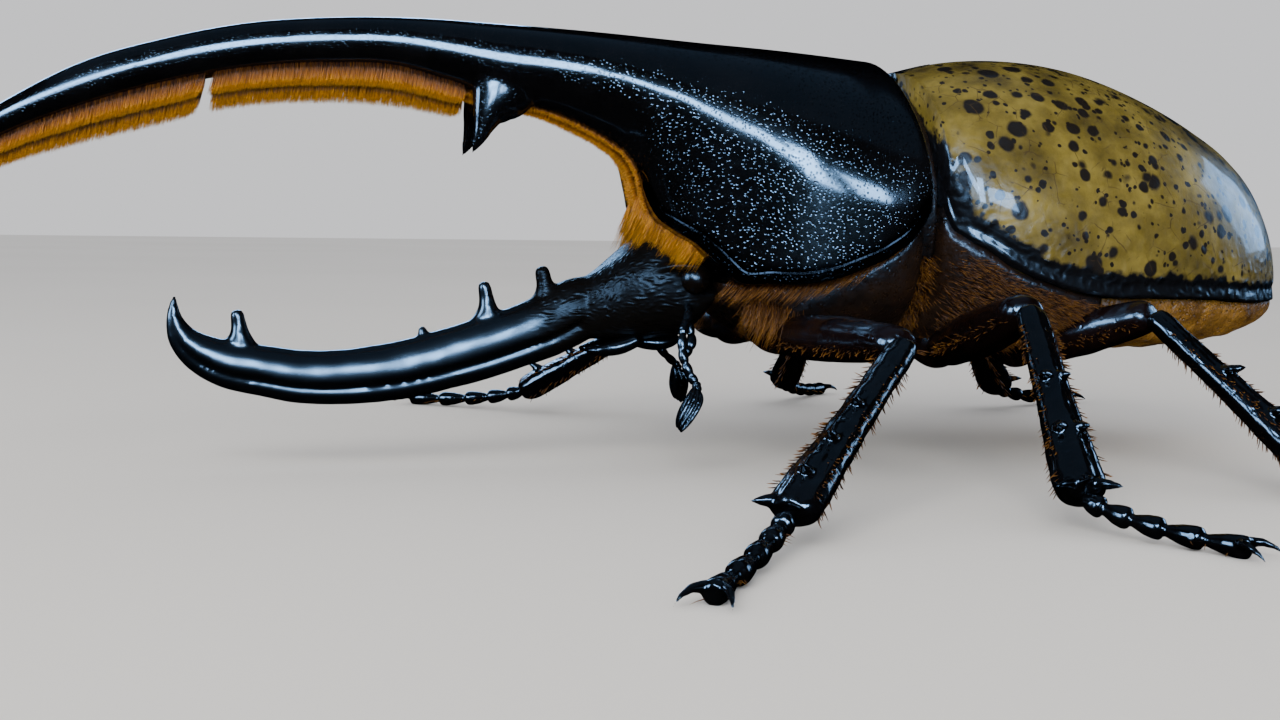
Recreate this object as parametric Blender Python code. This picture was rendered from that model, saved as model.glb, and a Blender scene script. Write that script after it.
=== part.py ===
"""Male hercules beetle, life size, standing still with its two horns level.

Pieces are drawn in millimetres and become metres at the end. X runs back from
the hind edge of the pronotum, so the head is at -X. The animal's left is -Y,
and Z is the height above the floor.
"""

import math
import random

import bmesh
import bpy
import numpy as np
from mathutils import Matrix, Vector

MM = 0.001
GAP = 0.3
BODY_CENTRE = Vector((-27.7, -2.9, 0.0))

# Lines along the body, as (x, height) or (x, half width)
HORN_JOIN = -34.0
HORN_TIP = Vector((-112.0, 0.0, 27.2))
HORN_TOP = ((-111.6, 28.2), (-108, 31.8), (-98, 38.9), (-90, 43.4), (-82, 46.1), (-73.6, 48.1),
            (-65, 49.1), (-56, 49.5), (-47, 49.3), (-34, 48.8))
HORN_LOW = ((-111.6, 26.4), (-108, 28.6), (-98, 35.0), (-90, 38.4), (-82, 41.0), (-74, 42.8),
            (-65, 43.7), (-58, 43.6), (-52, 42.0), (-46, 40.2), (-41, 39.4), (-37.2, 38.0),
            (-34, 36.4))
HORN_WIDTH = ((-111.6, 0.9), (-108, 1.9), (-100, 2.5), (-85, 2.7), (-70, 3.0), (-60, 3.5),
              (-52, 4.5), (-45, 5.4), (-40, 6.1), (-34, 7.6))
FRINGE_LOW = ((-108, 26.4), (-98, 32.0), (-90, 34.7), (-82, 36.9), (-76, 38.6), (-65, 39.8),
              (-55, 39.3), (-52, 38.8))

PRONOTUM_END = -1.9
PRONOTUM_TOP = ((-34, 48.8), (-23, 48.1), (-10, 47.4), (-1.9, 46.9))
PRONOTUM_EDGE = ((-34, 36.4), (-32, 34.8), (-30.8, 32.6), (-30.2, 30.2), (-29.5, 28.3),
                 (-28.2, 26.8), (-26.2, 25.2), (-24, 22.9), (-22.5, 21.3), (-19, 21.0),
                 (-16, 21.0), (-13, 21.5), (-10, 22.6), (-6.4, 24.3), (-3.6, 26.5), (-1.9, 29.0))
PRONOTUM_WIDTH = ((-34, 7.6), (-30, 9.2), (-26, 11.9), (-22.5, 14.0), (-19, 15.9), (-16, 17.2),
                  (-13, 18.1), (-10, 18.8), (-6.4, 19.3), (-3.6, 19.3), (-1.9, 19.0))
# How far its sides roll under, in degrees, and how much its arch slopes like a roof
PRONOTUM_ROLL = ((-34, 70), (-31, 66), (-30, 58), (-28, 38), (-26, 24), (-22, 12), (-1.9, 12))
PRONOTUM_SLOPE = ((-34, 1.0), (-12, 1.0), (-6, 1.12), (-1.9, 1.26))
# Where its widest line runs, as a share of the height
PRONOTUM_WIDEST = ((-34, 0.51), (-31, 0.53), (-28, 0.56), (-25, 0.54), (-22, 0.53), (-18, 0.45),
                   (-14, 0.36), (-10, 0.28), (-6, 0.21), (-1.9, 0.14))

ELYTRA_START = 0.9
ELYTRA_END = 53.2
ELYTRA_TOP = ((0.9, 45.6), (6, 46.9), (14, 47.6), (22, 46.9), (31, 44.3), (39, 40.8), (44, 38.0),
              (47.5, 35.0), (50, 31.2), (51.6, 27.2), (52.8, 22.4), (53.2, 20.0))
ELYTRA_EDGE = ((0.9, 29.9), (1.4, 28.0), (2.6, 26.6), (5.2, 25.1), (8.3, 23.2), (12.6, 21.4),
               (19, 20.0), (27, 19.8), (36, 19.5), (44, 19.0), (53.2, 19.2))
ELYTRA_WIDTH = ((0.9, 16.6), (2.6, 18.3), (6, 19.6), (12, 20.5), (20, 20.4), (27, 19.6),
                (33, 18.1), (39, 15.8), (44, 13.2), (48, 10.3), (50.8, 7.4), (52.4, 4.6),
                (53.2, 2.4))
SUTURE = 0.15

# Locks of bristles: the form of one, then the place and size of each row of them
LOCK_FORM = ((0.0, 0.8), (0.4, 1.0), (0.78, 0.72))
LOCK_THICKNESS = 0.9
LOCK_STRAY = 0.35
FRINGE_LOCKS = 24
FRINGE_START = -107.2
FRINGE_END = -52.8
FRINGE_WIDTH = 3.9
FRINGE_SINK = 1.5
ARCH_LOCKS = 5
ARCH_START = -45.0
ARCH_END = -35.2
ARCH_WIDTH = 3.2
ARCH_SINK = 1.8
ARCH_DROP = 2.3
# Collar under the front rim of the pronotum: roots and tips at its middle and at its side
COLLAR_LOCKS = 8
COLLAR_ROOT = (Vector((-29.8, 0.8, 33.6)), Vector((-25.4, 8.4, 27.6)))
COLLAR_TIP = (Vector((-32.4, 0.7, 25.6)), Vector((-27.2, 8.6, 22.8)))
COLLAR_WIDTH = 2.6
# Bristles beside the root of each front leg
HIP_LOCKS = 4
HIP_X = (-20.7, -17.1)
HIP_Y = (9.6, 11.6)
HIP_TIP_Y = (11.4, 13.8)
HIP_TOP = 18.9
HIP_TIP = (13.6, 14.4)
HIP_WIDTH = 2.8
SEED = 7

LATERAL_TOOTH = ((-45.8, 2.2, 43.8), (-46.8, 2.9, 41.2), (-47.9, 3.3, 39.4), (-48.5, 3.5, 37.9),
                 (-49.1, 3.6, 36.3))
LATERAL_TOOTH_WIDTH = (5.0, 3.7, 2.1, 1.3, 0.7)
LATERAL_TOOTH_DEPTH = (2.4, 1.9, 1.4, 1.0, 0.6)
LATERAL_TOOTH_TIP = (-49.8, 3.5, 34.6)

BELLY = ((-22.3, 18.2), (-19.5, 16.5), (-17, 14.2), (-10, 13.5), (-2, 13.4), (10, 13.0),
         (20, 12.8), (32, 12.7), (40, 13.2), (46, 14.3), (49.3, 15.2), (52.9, 17.0))
BELLY_SHARE = 0.93
THORAX_END = 19.0
ABDOMEN_START = 19.3
ABDOMEN_END = 49.0
PYGIDIUM_END = 52.9
STERNITES = 6
STERNITE_STEP = 0.4

HEAD_START = -37.0
HEAD_END = -22.6
HEAD_TOP = ((-37, 21.3), (-35, 22.2), (-33, 23.6), (-31, 25.2), (-29.4, 26.3), (-28, 26.3),
            (-26, 24.0), (-24, 21.9), (-22.6, 20.9))
HEAD_LOW = ((-37, 13.7), (-33, 14.0), (-28, 14.2), (-24.5, 15.2), (-22.6, 17.8))
HEAD_WIDTH = ((-37, 3.1), (-35, 4.2), (-33, 5.5), (-30, 6.8), (-26, 7.4), (-22.6, 6.8))

# The lower horn: centre x, centre z, half height, half width
LOWER_HORN = ((-34.5, 18.6, 3.0, 2.6), (-37.3, 17.4, 3.7, 3.0), (-40.5, 15.7, 3.6, 2.8),
              (-44, 14.4, 3.5, 2.6), (-48, 13.1, 3.5, 2.5), (-52, 12.0, 3.4, 2.4),
              (-56, 11.0, 3.3, 2.3), (-60, 10.4, 3.2, 2.3), (-64, 10.1, 3.05, 2.2),
              (-68, 10.2, 2.95, 2.2), (-72, 10.9, 2.8, 2.1), (-75.6, 11.6, 2.6, 2.0),
              (-78.4, 12.8, 2.2, 1.7), (-80.3, 14.4, 1.6, 1.3), (-81.2, 16.4, 0.95, 0.9),
              (-81.3, 18.2, 0.45, 0.5))
LOWER_HORN_TIP = Vector((-81.1, 0.0, 19.2))
# Teeth on top of it: tip x, tip z, base x, base z, base radius
LOWER_TEETH = ((-74.9, 17.6, -74.6, 12.8, 1.5), (-55.0, 15.6, -54.6, 13.0, 1.1),
               (-48.0, 20.7, -47.4, 15.2, 1.5), (-41.2, 22.4, -40.6, 17.2, 1.6))

EYE_PLACE = (-25.2, 7.0, 21.2)
EYE_RADIUS = 1.7
ANTENNA = ((-26.0, 7.2, 18.2), (-26.6, 9.2, 17.3), (-27.6, 10.5, 15.4), (-27.8, 11.3, 13.2),
           (-27.3, 11.9, 11.3), (-26.6, 12.3, 10.0))
ANTENNA_SIZE = (0.75, 0.8, 0.55, 0.55, 0.55, 0.5)
CLUB = ((-26.5, 12.5, 9.5), (-26.9, 12.8, 8.3), (-27.9, 13.2, 6.7), (-28.8, 13.6, 5.2))
CLUB_WIDTH = (0.5, 1.1, 1.25, 0.6)
CLUB_DEPTH = (0.45, 0.75, 0.8, 0.45)
# How far back each antenna leans for every millimetre that it hangs
ANTENNA_LEAN = {-1: 0.0, 1: 0.62}
PALP = ((-25.6, 5.0, 16.8), (-25.2, 6.0, 14.9), (-25.6, 6.9, 13.5), (-26.7, 7.1, 12.6))
PALP_SIZE = (0.6, 0.6, 0.65, 0.4)
MANDIBLE = ((-30.9, 2.9, 14.2), (-32.8, 3.0, 13.4), (-34.6, 2.5, 13.0), (-36.2, 1.6, 12.9))
MANDIBLE_WIDTH = (1.3, 1.2, 1.0, 0.5)
MANDIBLE_DEPTH = (0.9, 0.9, 0.7, 0.4)
MENTUM = ((-30.2, 0, 13.9), (-29.6, 0, 13.8), (-27.5, 0, 13.7), (-25.8, 0, 14.1),
          (-25.2, 0, 14.4))
MENTUM_WIDTH = (1.3, 2.2, 2.5, 2.0, 1.2)
MENTUM_DEPTH = (0.5, 0.9, 1.0, 0.9, 0.5)

# Legs: hip, knee, ankle and toe of each
LEGS = {
    "front_left": ((-15.5, -9.6, 15.0), (-11.7, -33.0, 15.7), (-30.5, -51.0, 3.0),
                   (-43.0, -68.0, 0.9)),
    "front_right": ((-15.5, 9.6, 15.0), (-13.5, 32.0, 17.0), (-34.0, 47.0, 3.0),
                    (-49.0, 59.0, 0.9)),
    "middle_left": ((4.5, -9.6, 13.2), (3.0, -31.0, 19.0), (-2.0, -50.0, 3.2),
                    (6.0, -63.0, 0.9)),
    "middle_right": ((4.5, 9.6, 13.2), (6.0, 31.0, 19.0), (8.0, 51.0, 3.2),
                     (19.0, 62.0, 0.9)),
    "hind_left": ((15.0, -9.6, 13.2), (22.0, -24.5, 18.0), (31.0, -40.5, 3.2),
                  (45.0, -50.0, 0.9)),
    "hind_right": ((15.0, 9.6, 13.2), (23.5, 25.0, 18.0), (38.0, 38.0, 3.2),
                   (54.0, 44.0, 0.9)),
}
COXA_INNER = 1.6
COXA_FORM = ((0.0, 0.5), (0.12, 0.94), (0.8, 0.98), (0.95, 0.7), (1.0, 0.4))
COXA_RADIUS = 3.0
FEMUR_FORM = ((0.0, 0.4), (0.03, 0.66), (0.12, 0.86), (0.3, 1.0), (0.55, 1.0), (0.8, 0.84),
              (0.93, 0.76), (0.985, 0.56), (1.0, 0.3))
FEMUR_WIDTH = 3.1
FEMUR_HEIGHT = 2.6
TIBIA_FORM = ((0.0, 0.4), (0.02, 0.62), (0.1, 0.7), (0.3, 0.72), (0.6, 0.82), (0.85, 1.0),
              (0.96, 0.98), (1.0, 0.7))
TIBIA_WIDTH = {"front": 2.4, "middle": 2.4, "hind": 2.6}
TIBIA_HEIGHT = 1.9
# Thorns of the shins: share of the length, degrees around it, length
THORNS = {
    "front": ((0.45, 100, 1.3), (0.66, 100, 1.5), (0.86, 100, 1.8), (0.97, 20, 1.6)),
    "middle": ((0.42, 60, 1.3), (0.42, 120, 1.3), (0.7, 60, 1.4), (0.7, 120, 1.4),
               (0.97, 40, 2.2), (0.97, 90, 1.8), (0.97, 140, 2.0)),
    "hind": ((0.42, 60, 1.3), (0.42, 120, 1.3), (0.7, 60, 1.4), (0.7, 120, 1.4),
             (0.97, 40, 2.2), (0.97, 90, 1.8), (0.97, 140, 2.0)),
}
THORN_RADIUS = 0.55
TARSUS_SEGMENTS = 5
TARSUS_NECK = 0.62
TARSUS_RADIUS = 1.08
CLAW_LENGTH = 3.6
CLAW_SPREAD = 0.5

BLACK = (0.012, 0.012, 0.014)
OLIVE = (0.30, 0.23, 0.07)
BROWN = (0.16, 0.08, 0.025)
ORANGE = (0.42, 0.17, 0.03)
AMBER = (0.09, 0.035, 0.01)


def on_line(points, x):
    """Value at x on a smooth line through a few (x, value) points."""
    xs = [p[0] for p in points]
    vs = [p[1] for p in points]
    slopes = np.gradient(vs, xs)
    i = min(max(int(np.searchsorted(xs, x)) - 1, 0), len(xs) - 2)
    step = xs[i + 1] - xs[i]
    t = min(max((x - xs[i]) / step, 0.0), 1.0)
    start = vs[i] * (2 * t ** 3 - 3 * t ** 2 + 1) + slopes[i] * step * (t ** 3 - 2 * t ** 2 + t)
    end = vs[i + 1] * (3 * t ** 2 - 2 * t ** 3) + slopes[i + 1] * step * (t ** 3 - t ** 2)
    return float(start + end)


def between(ends, share):
    return ends[0] + (ends[1] - ends[0]) * share


def spread(start, end, count):
    """Evenly spaced values, both ends among them."""
    for i in range(count):
        yield start + (end - start) * i / (count - 1)


def loft(name, rings):
    """Closed surface through rings of points; a ring of one point is a tip."""
    shape = bmesh.new()
    rows = [[shape.verts.new(p) for p in ring] for ring in rings]
    for row, after in zip(rows, rows[1:]):
        count = max(len(row), len(after))
        for i in range(count):
            j = (i + 1) % count
            if len(after) == 1:
                shape.faces.new((row[i], row[j], after[0]))
            elif len(row) == 1:
                shape.faces.new((row[0], after[j], after[i]))
            else:
                shape.faces.new((row[i], row[j], after[j], after[i]))
    for row in (rows[0], rows[-1]):
        if len(row) > 2:
            shape.faces.new(row)
    bmesh.ops.recalc_face_normals(shape, faces=shape.faces)
    mesh = bpy.data.meshes.new(name)
    shape.to_mesh(mesh)
    shape.free()
    piece = bpy.data.objects.new(name, mesh)
    bpy.context.scene.collection.objects.link(piece)
    return piece


def signed_power(value, power):
    return math.copysign(abs(value) ** power, value)


def dome(x, low, top, half, count, roll=12, slope=1.0, widest=0.172):
    """Arched section, flat across its low side, that rolls under below its widest line."""
    roll = math.radians(roll)
    middle = low + (top - low) * widest
    ring = []
    for i in range(count):
        angle = -roll + (math.pi + 2 * roll) * i / (count - 1)
        y = -half * signed_power(math.cos(angle), slope)
        rise = signed_power(math.sin(angle), slope)
        reach = top - middle if rise > 0 else (middle - low) / math.sin(roll) ** slope
        ring.append((x, y, middle + reach * rise))
    return ring


def keel(x, low, top, half, count):
    """Section of the underside, flat across its top."""
    ring = []
    for i in range(count):
        angle = math.pi * i / (count - 1)
        depth = math.sin(angle) ** 0.8
        ring.append((x, -half * math.cos(angle), top - (top - low) * depth))
    return ring


def oval(x, low, top, half, count, power=1.0):
    """Closed oval section; a power under 1 squares it."""
    ring = []
    for i in range(count):
        angle = math.tau * i / count
        y = half * signed_power(math.cos(angle), power)
        z = (top + low) / 2 + (top - low) / 2 * signed_power(math.sin(angle), power)
        ring.append((x, y, z))
    return ring


def tube(name, path, widths, heights, sides, up=Vector((0, 0, 1)), grow=0.0, tip=None):
    """Loft along a path, with a half width and half height at each of its points."""
    path = [Vector(p) for p in path]
    rings = []
    for i, centre in enumerate(path):
        along = (path[min(i + 1, len(path) - 1)] - path[max(i - 1, 0)]).normalized()
        side = along.cross(up).normalized()
        rise = side.cross(along)
        if i == 0:
            centre = centre - along * grow
        if i == len(path) - 1:
            centre = centre + along * grow
        ring = []
        for k in range(sides):
            angle = math.tau * (k + 0.5) / sides
            ring.append(centre + side * (widths[i] + grow) * math.cos(angle)
                        + rise * (heights[i] + grow) * math.sin(angle))
        rings.append(ring)
    if tip is not None:
        rings.append([Vector(tip)])
    return loft(name, rings)


def limb(name, start, end, form, width, height, sides, grow=0.0, up=Vector((0, 0, 1))):
    """Tube between two points, swelling as the form's (share, size) pairs say."""
    start, end = Vector(start), Vector(end)
    path = [start.lerp(end, share) for share, size in form]
    widths = [width * size for share, size in form]
    heights = [height * size for share, size in form]
    return tube(name, path, widths, heights, sides, up, grow)


def spine(root, tip, radius, sides=5):
    """Thorn that narrows evenly to a point."""
    root, tip = Vector(root), Vector(tip)
    up = Vector((0.3, 0.2, 1)) if abs((tip - root).normalized().z) < 0.8 else Vector((1, 0, 0))
    path = [root, root.lerp(tip, 0.6)]
    sizes = [radius, radius * 0.5]
    return tube("spine", path, sizes, sizes, sides, up, 0.0, tip)


def apply_boolean(piece, others, operation, solver):
    """One Boolean with all the others, which are then removed."""
    group = bpy.data.collections.new("cutters")
    for other in others:
        group.objects.link(other)
    change = piece.modifiers.new(operation, "BOOLEAN")
    change.operation = operation
    change.operand_type = "COLLECTION"
    change.collection = group
    change.solver = solver
    graph = bpy.context.evaluated_depsgraph_get()
    mesh = bpy.data.meshes.new_from_object(piece.evaluated_get(graph))
    piece.modifiers.clear()
    piece.data = mesh
    for other in others:
        bpy.data.objects.remove(other)
    bpy.data.collections.remove(group)
    keep_largest(piece)
    return piece


def fuse(piece, others, solver="EXACT"):
    return apply_boolean(piece, others, "UNION", solver)


def cut(piece, others, solver="EXACT"):
    return apply_boolean(piece, others, "DIFFERENCE", solver)


def keep_largest(piece):
    """Drop all but the closed surface that spans the most."""
    shape = bmesh.new()
    shape.from_mesh(piece.data)
    left = set(shape.verts)
    islands = []
    while left:
        island = {left.pop()}
        edge = list(island)
        while edge:
            for link in edge.pop().link_edges:
                for vert in link.verts:
                    if vert in left:
                        left.remove(vert)
                        island.add(vert)
                        edge.append(vert)
        islands.append(island)
    islands.sort(key=spanned)
    for island in islands[:-1]:
        bmesh.ops.delete(shape, geom=list(island), context="VERTS")
    shape.to_mesh(piece.data)
    shape.free()


def spanned(island):
    """Size of the box around some vertices."""
    points = np.array([vert.co for vert in island])
    return float(np.prod(np.ptp(points, axis=0) + 0.01))


def rest_on_floor(piece):
    """Flatten what would reach under the floor."""
    for vert in piece.data.vertices:
        vert.co.z = max(vert.co.z, 0.0)


def thoracic_horn():
    xs = (-111.6, -110, -107, -103, -98, -93, -87, -81, -75, -69, -63, -58, -54, -50, -46, -42,
          -38, HORN_JOIN - GAP / 2)
    rings = [[HORN_TIP]]
    for x in xs:
        rings.append(oval(x, on_line(HORN_LOW, x), on_line(HORN_TOP, x),
                          on_line(HORN_WIDTH, x), 16, 0.94))
    horn = loft("thoracic_horn", rings)
    extras = [lateral_tooth(side) for side in (-1, 1)]
    for side in (-1, 1):
        extras += fringe_locks(side) + arch_locks(side)
    return fuse(horn, extras)


def lateral_tooth(side):
    """Thorn at the side of the upper horn, pointing down and out."""
    tip = mirrored([LATERAL_TOOTH_TIP], side)[0]
    return tube("tooth", mirrored(LATERAL_TOOTH, side), LATERAL_TOOTH_WIDTH,
                LATERAL_TOOTH_DEPTH, 8, Vector((0, 1, 0)), 0.0, tip)


def lock(root, tip, width, across, bend):
    """Flat lock of bristles that tapers to its tip and bends once on the way."""
    root, tip = Vector(root), Vector(tip)
    across = Vector(across).normalized()
    out = (tip - root).normalized().cross(across)
    rings = []
    for share, size in LOCK_FORM:
        centre = root.lerp(tip, share) + Vector(bend) * 4 * share * (1 - share)
        half = across * width * size / 2
        thick = out * LOCK_THICKNESS * (0.4 + 0.6 * size) / 2
        rings.append([centre - half, centre + thick, centre + half, centre - thick])
    rings.append([tip])
    return loft("lock", rings)


def lock_row(paths, width, across, bend, seed):
    """One lock on each (root, tip) pair, its tip a little astray."""
    draw = random.Random(seed)
    locks = []
    for root, tip in paths:
        stray = Vector((draw.uniform(-1, 1), 0, draw.uniform(-1, 1))) * LOCK_STRAY
        locks.append(lock(root, Vector(tip) + stray, width, across, bend))
    return locks


def fringe_locks(side):
    """One row of the fringe along the underside of the upper horn."""
    paths = []
    for x in spread(FRINGE_START, FRINGE_END, FRINGE_LOCKS):
        half = on_line(HORN_WIDTH, x)
        root = (x + 0.3, side * 0.5 * half, on_line(HORN_LOW, x) + FRINGE_SINK)
        tip = (x - 0.9, side * (0.28 * half + 0.25), on_line(FRINGE_LOW, x))
        paths.append((root, tip))
    return lock_row(paths, FRINGE_WIDTH, (1, 0, 0.15), (0.3, side * 0.25, 0), SEED + side)


def arch_locks(side):
    """Fringe in the arch where the upper horn springs from the pronotum."""
    paths = []
    for x in spread(ARCH_START, ARCH_END, ARCH_LOCKS):
        y = side * 0.5 * on_line(HORN_WIDTH, x)
        low = on_line(HORN_LOW, x)
        paths.append(((x + 0.2, y, low + ARCH_SINK), (x - 1.2, 0.9 * y, low - ARCH_DROP)))
    return lock_row(paths, ARCH_WIDTH, (1, 0, -0.5), (0.2, side * 0.3, 0), 2 * SEED + side)


def collar_locks(side):
    """Curtain of bristles from inside the front rim of the pronotum down to the head."""
    paths = []
    for share in spread(0, 1, COLLAR_LOCKS):
        root, tip = between(COLLAR_ROOT, share), between(COLLAR_TIP, share)
        paths.append(mirrored((root, tip), side))
    across = (0.5, side, -0.5)
    return lock_row(paths, COLLAR_WIDTH, across, (0.5, side * 0.3, 0), 3 * SEED + side)


def hip_locks(side):
    paths = []
    for share in spread(0, 1, HIP_LOCKS):
        x = between(HIP_X, share)
        root = (x + 0.2, side * between(HIP_Y, share), HIP_TOP)
        tip = (x - 0.5, side * between(HIP_TIP_Y, share), between(HIP_TIP, share))
        paths.append((root, tip))
    return lock_row(paths, HIP_WIDTH, (1, 0, 0), (0, side * 0.6, 0), 4 * SEED + side)


def pronotum():
    xs = (HORN_JOIN + GAP / 2, -32.8, -31.6, -30.8, -30.2, -29.5, -28.2, -26.2, -24, -22.5,
          -19.5, -16.5, -13.5, -10.5, -7.5, -5, -3.2, PRONOTUM_END)
    rings = []
    for x in xs:
        rings.append(dome(x, on_line(PRONOTUM_EDGE, x), on_line(PRONOTUM_TOP, x),
                          on_line(PRONOTUM_WIDTH, x), 27, on_line(PRONOTUM_ROLL, x),
                          on_line(PRONOTUM_SLOPE, x), on_line(PRONOTUM_WIDEST, x)))
    shield = loft("pronotum", rings)
    locks = collar_locks(-1) + collar_locks(1)
    return cut(fuse(shield, locks), [head(GAP)])


def prosternum():
    rings = []
    for x in (-22.3, -19.5, -16.5, -13.5, -10.5, -7.5, -5, -3.2, PRONOTUM_END):
        top = on_line(PRONOTUM_EDGE, x) - GAP
        half = on_line(PRONOTUM_WIDTH, x) - 2.4
        rings.append(keel(x, on_line(BELLY, x), top, half, 15))
    return fuse(loft("prosternum", rings), hip_locks(-1) + hip_locks(1))


def mesothorax():
    """Neck between the pronotum and the elytra."""
    start, end = PRONOTUM_END + GAP, ELYTRA_START - GAP
    rings = [oval(x, 14.2, 43.6, 14.6, 24) for x in (start, (start + end) / 2, end)]
    return loft("mesothorax", rings)


def underside(name, xs, step_at=()):
    """Belly below the elytra; its surface steps in at some places."""
    rings = []
    for x in xs:
        inset = STERNITE_STEP if x in step_at else 0.0
        half = BELLY_SHARE * on_line(ELYTRA_WIDTH, x) - inset
        low = on_line(BELLY, x) + inset
        rings.append(keel(x, low, on_line(ELYTRA_EDGE, x) - GAP, half, 17))
    return loft(name, rings)


def metathorax():
    return underside("metathorax", (ELYTRA_START, 1.4, 2.6, 5.2, 8.3, 12.6, 16, THORAX_END))


def abdomen():
    """Belly with a ridge where each sternite overlaps the next."""
    length = (ABDOMEN_END - ABDOMEN_START) / STERNITES
    xs, steps = [], []
    for i in range(STERNITES):
        start = ABDOMEN_START + i * length
        steps.append(start)
        xs += [start, start + 0.3 * length]
    xs.append(ABDOMEN_END)
    return underside("abdomen", xs, steps)


def pygidium():
    return underside("pygidium", (ABDOMEN_END + GAP, 50.4, 51.8, PYGIDIUM_END))


def elytron(name, side):
    """Wing case over half of the back, from the suture down to its outer edge."""
    xs = (ELYTRA_START, 1.4, 2.6, 4.4, 6.5, 9.5, 13, 17, 21, 25, 29, 33, 36.5, 39.5, 42.2, 44.6,
          46.7, 48.5, 50.0, 51.4, 52.5, ELYTRA_END)
    rings = []
    for x in xs:
        low, top = on_line(ELYTRA_EDGE, x), on_line(ELYTRA_TOP, x)
        arch = dome(x, low, top, on_line(ELYTRA_WIDTH, x), 33)[16:]
        outer = [(x, side * y, z) for x, y, z in arch[1:]]
        rings.append([(x, side * SUTURE, top)] + outer + [(x, side * SUTURE, low)])
    return loft(name, rings)


def scutellum(grow=0.0):
    """Small triangular plate between the elytra, at their front."""
    rings = []
    for x, half in ((ELYTRA_START - grow, 3.4), (3.0, 2.6), (5.2, 1.2), (6.4 + 2 * grow, 0.3)):
        half += grow
        low = 43.4 - grow
        top = on_line(ELYTRA_TOP, x) + 0.15 + 8 * grow
        rings.append([(x, -half, low), (x, half, low), (x, half, top - 0.3), (x, 0, top),
                      (x, -half, top - 0.3)])
    return loft("scutellum", rings)


def head(grow=0.0):
    rings = []
    for x in (HEAD_START - grow, -35, -33, -31, -28.6, -26.5, -24.3, HEAD_END):
        rings.append(oval(x, on_line(HEAD_LOW, x) - grow, on_line(HEAD_TOP, x) + grow,
                          on_line(HEAD_WIDTH, x) + grow, 20, 0.9))
    return loft("head", rings)


def cephalic_horn():
    """Lower horn, curving up to its tip, with a row of teeth on top."""
    path = [(x, 0, z) for x, z, high, half in LOWER_HORN]
    horn = tube("cephalic_horn", path, [row[3] for row in LOWER_HORN],
                [row[2] for row in LOWER_HORN], 14, Vector((0.3, 0, 1)), 0.0, LOWER_HORN_TIP)
    teeth = []
    for tip_x, tip_z, base_x, base_z, radius in LOWER_TEETH:
        teeth.append(spine((base_x, 0, base_z), (tip_x, 0, tip_z), radius, 7))
    return cut(fuse(horn, teeth), [head(GAP)])


def ball(name, centre, radius, grow=0.0):
    bpy.ops.mesh.primitive_uv_sphere_add(segments=10, ring_count=7, radius=radius + grow,
                                         location=centre)
    piece = bpy.context.object
    piece.name = name
    piece.data.transform(piece.matrix_world)
    piece.matrix_world = Matrix.Identity(4)
    return piece


def mirrored(points, side):
    return [(x, side * y, z) for x, y, z in points]


def eye(name, side, grow=0.0):
    return ball(name, mirrored([EYE_PLACE], side)[0], EYE_RADIUS, grow)


def leaning(points, side):
    """Points of one antenna, swung back about its root."""
    root = ANTENNA[0][2]
    return [(x + ANTENNA_LEAN[side] * (root - z), side * y, z) for x, y, z in points]


def antenna(name, side, grow=0.0):
    """Stalk of bead-like joints that hangs below the head."""
    return tube(name, leaning(ANTENNA, side), ANTENNA_SIZE, ANTENNA_SIZE, 7,
                Vector((1, 0, 0.2)), grow)


def antenna_club(name, side):
    return tube(name, leaning(CLUB, side), CLUB_WIDTH, CLUB_DEPTH, 8, Vector((0, 1, 0)))


def palp(name, side, grow=0.0):
    return tube(name, mirrored(PALP, side), PALP_SIZE, PALP_SIZE, 7, Vector((1, 0, 0)), grow)


def mandible(name, side, grow=0.0):
    return tube(name, mirrored(MANDIBLE, side), MANDIBLE_WIDTH, MANDIBLE_DEPTH, 8, grow=grow)


def mentum(grow=0.0):
    """Lip plate under the mouth."""
    return tube("mentum", MENTUM, MENTUM_WIDTH, MENTUM_DEPTH, 10, grow=grow)


def coxa(name, hip, grow=0.0):
    """Short root of a leg, lying across the underside."""
    x, y, z = hip
    side = math.copysign(1, y)
    inner = (x + 0.4, side * COXA_INNER, z + 1.5)
    outer = (x, y - side * 0.4, z)
    return limb(name, inner, outer, COXA_FORM, COXA_RADIUS, COXA_RADIUS * 0.9, 8, grow)


def femur(name, hip, knee, grow=0.0):
    start = Vector(hip).lerp(Vector(knee), -0.06)
    return limb(name, start, knee, FEMUR_FORM, FEMUR_WIDTH, FEMUR_HEIGHT, 10, grow)


def tibia(name, pair, knee, ankle, grow=0.0):
    return limb(name, knee, ankle, TIBIA_FORM, TIBIA_WIDTH[pair], TIBIA_HEIGHT, 10, grow)


def thorns(pair, knee, ankle):
    """Spines on the outer face of a shin, leaning towards the foot."""
    knee, ankle = Vector(knee), Vector(ankle)
    along = (ankle - knee).normalized()
    side = along.cross(Vector((0, 0, 1))).normalized()
    rise = side.cross(along)
    spines = []
    for share, degrees, length in THORNS[pair]:
        angle = math.radians(degrees)
        out = side * math.cos(angle) + rise * math.sin(angle)
        size = on_line(TIBIA_FORM, share)
        skin = Vector((math.cos(angle) * TIBIA_WIDTH[pair], math.sin(angle) * TIBIA_HEIGHT)) * size
        root = knee.lerp(ankle, share) + out * (skin.length - 0.5)
        spines.append(spine(root, root + out * (length + 0.5) + along * length * 0.9,
                            THORN_RADIUS))
    return spines


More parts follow.
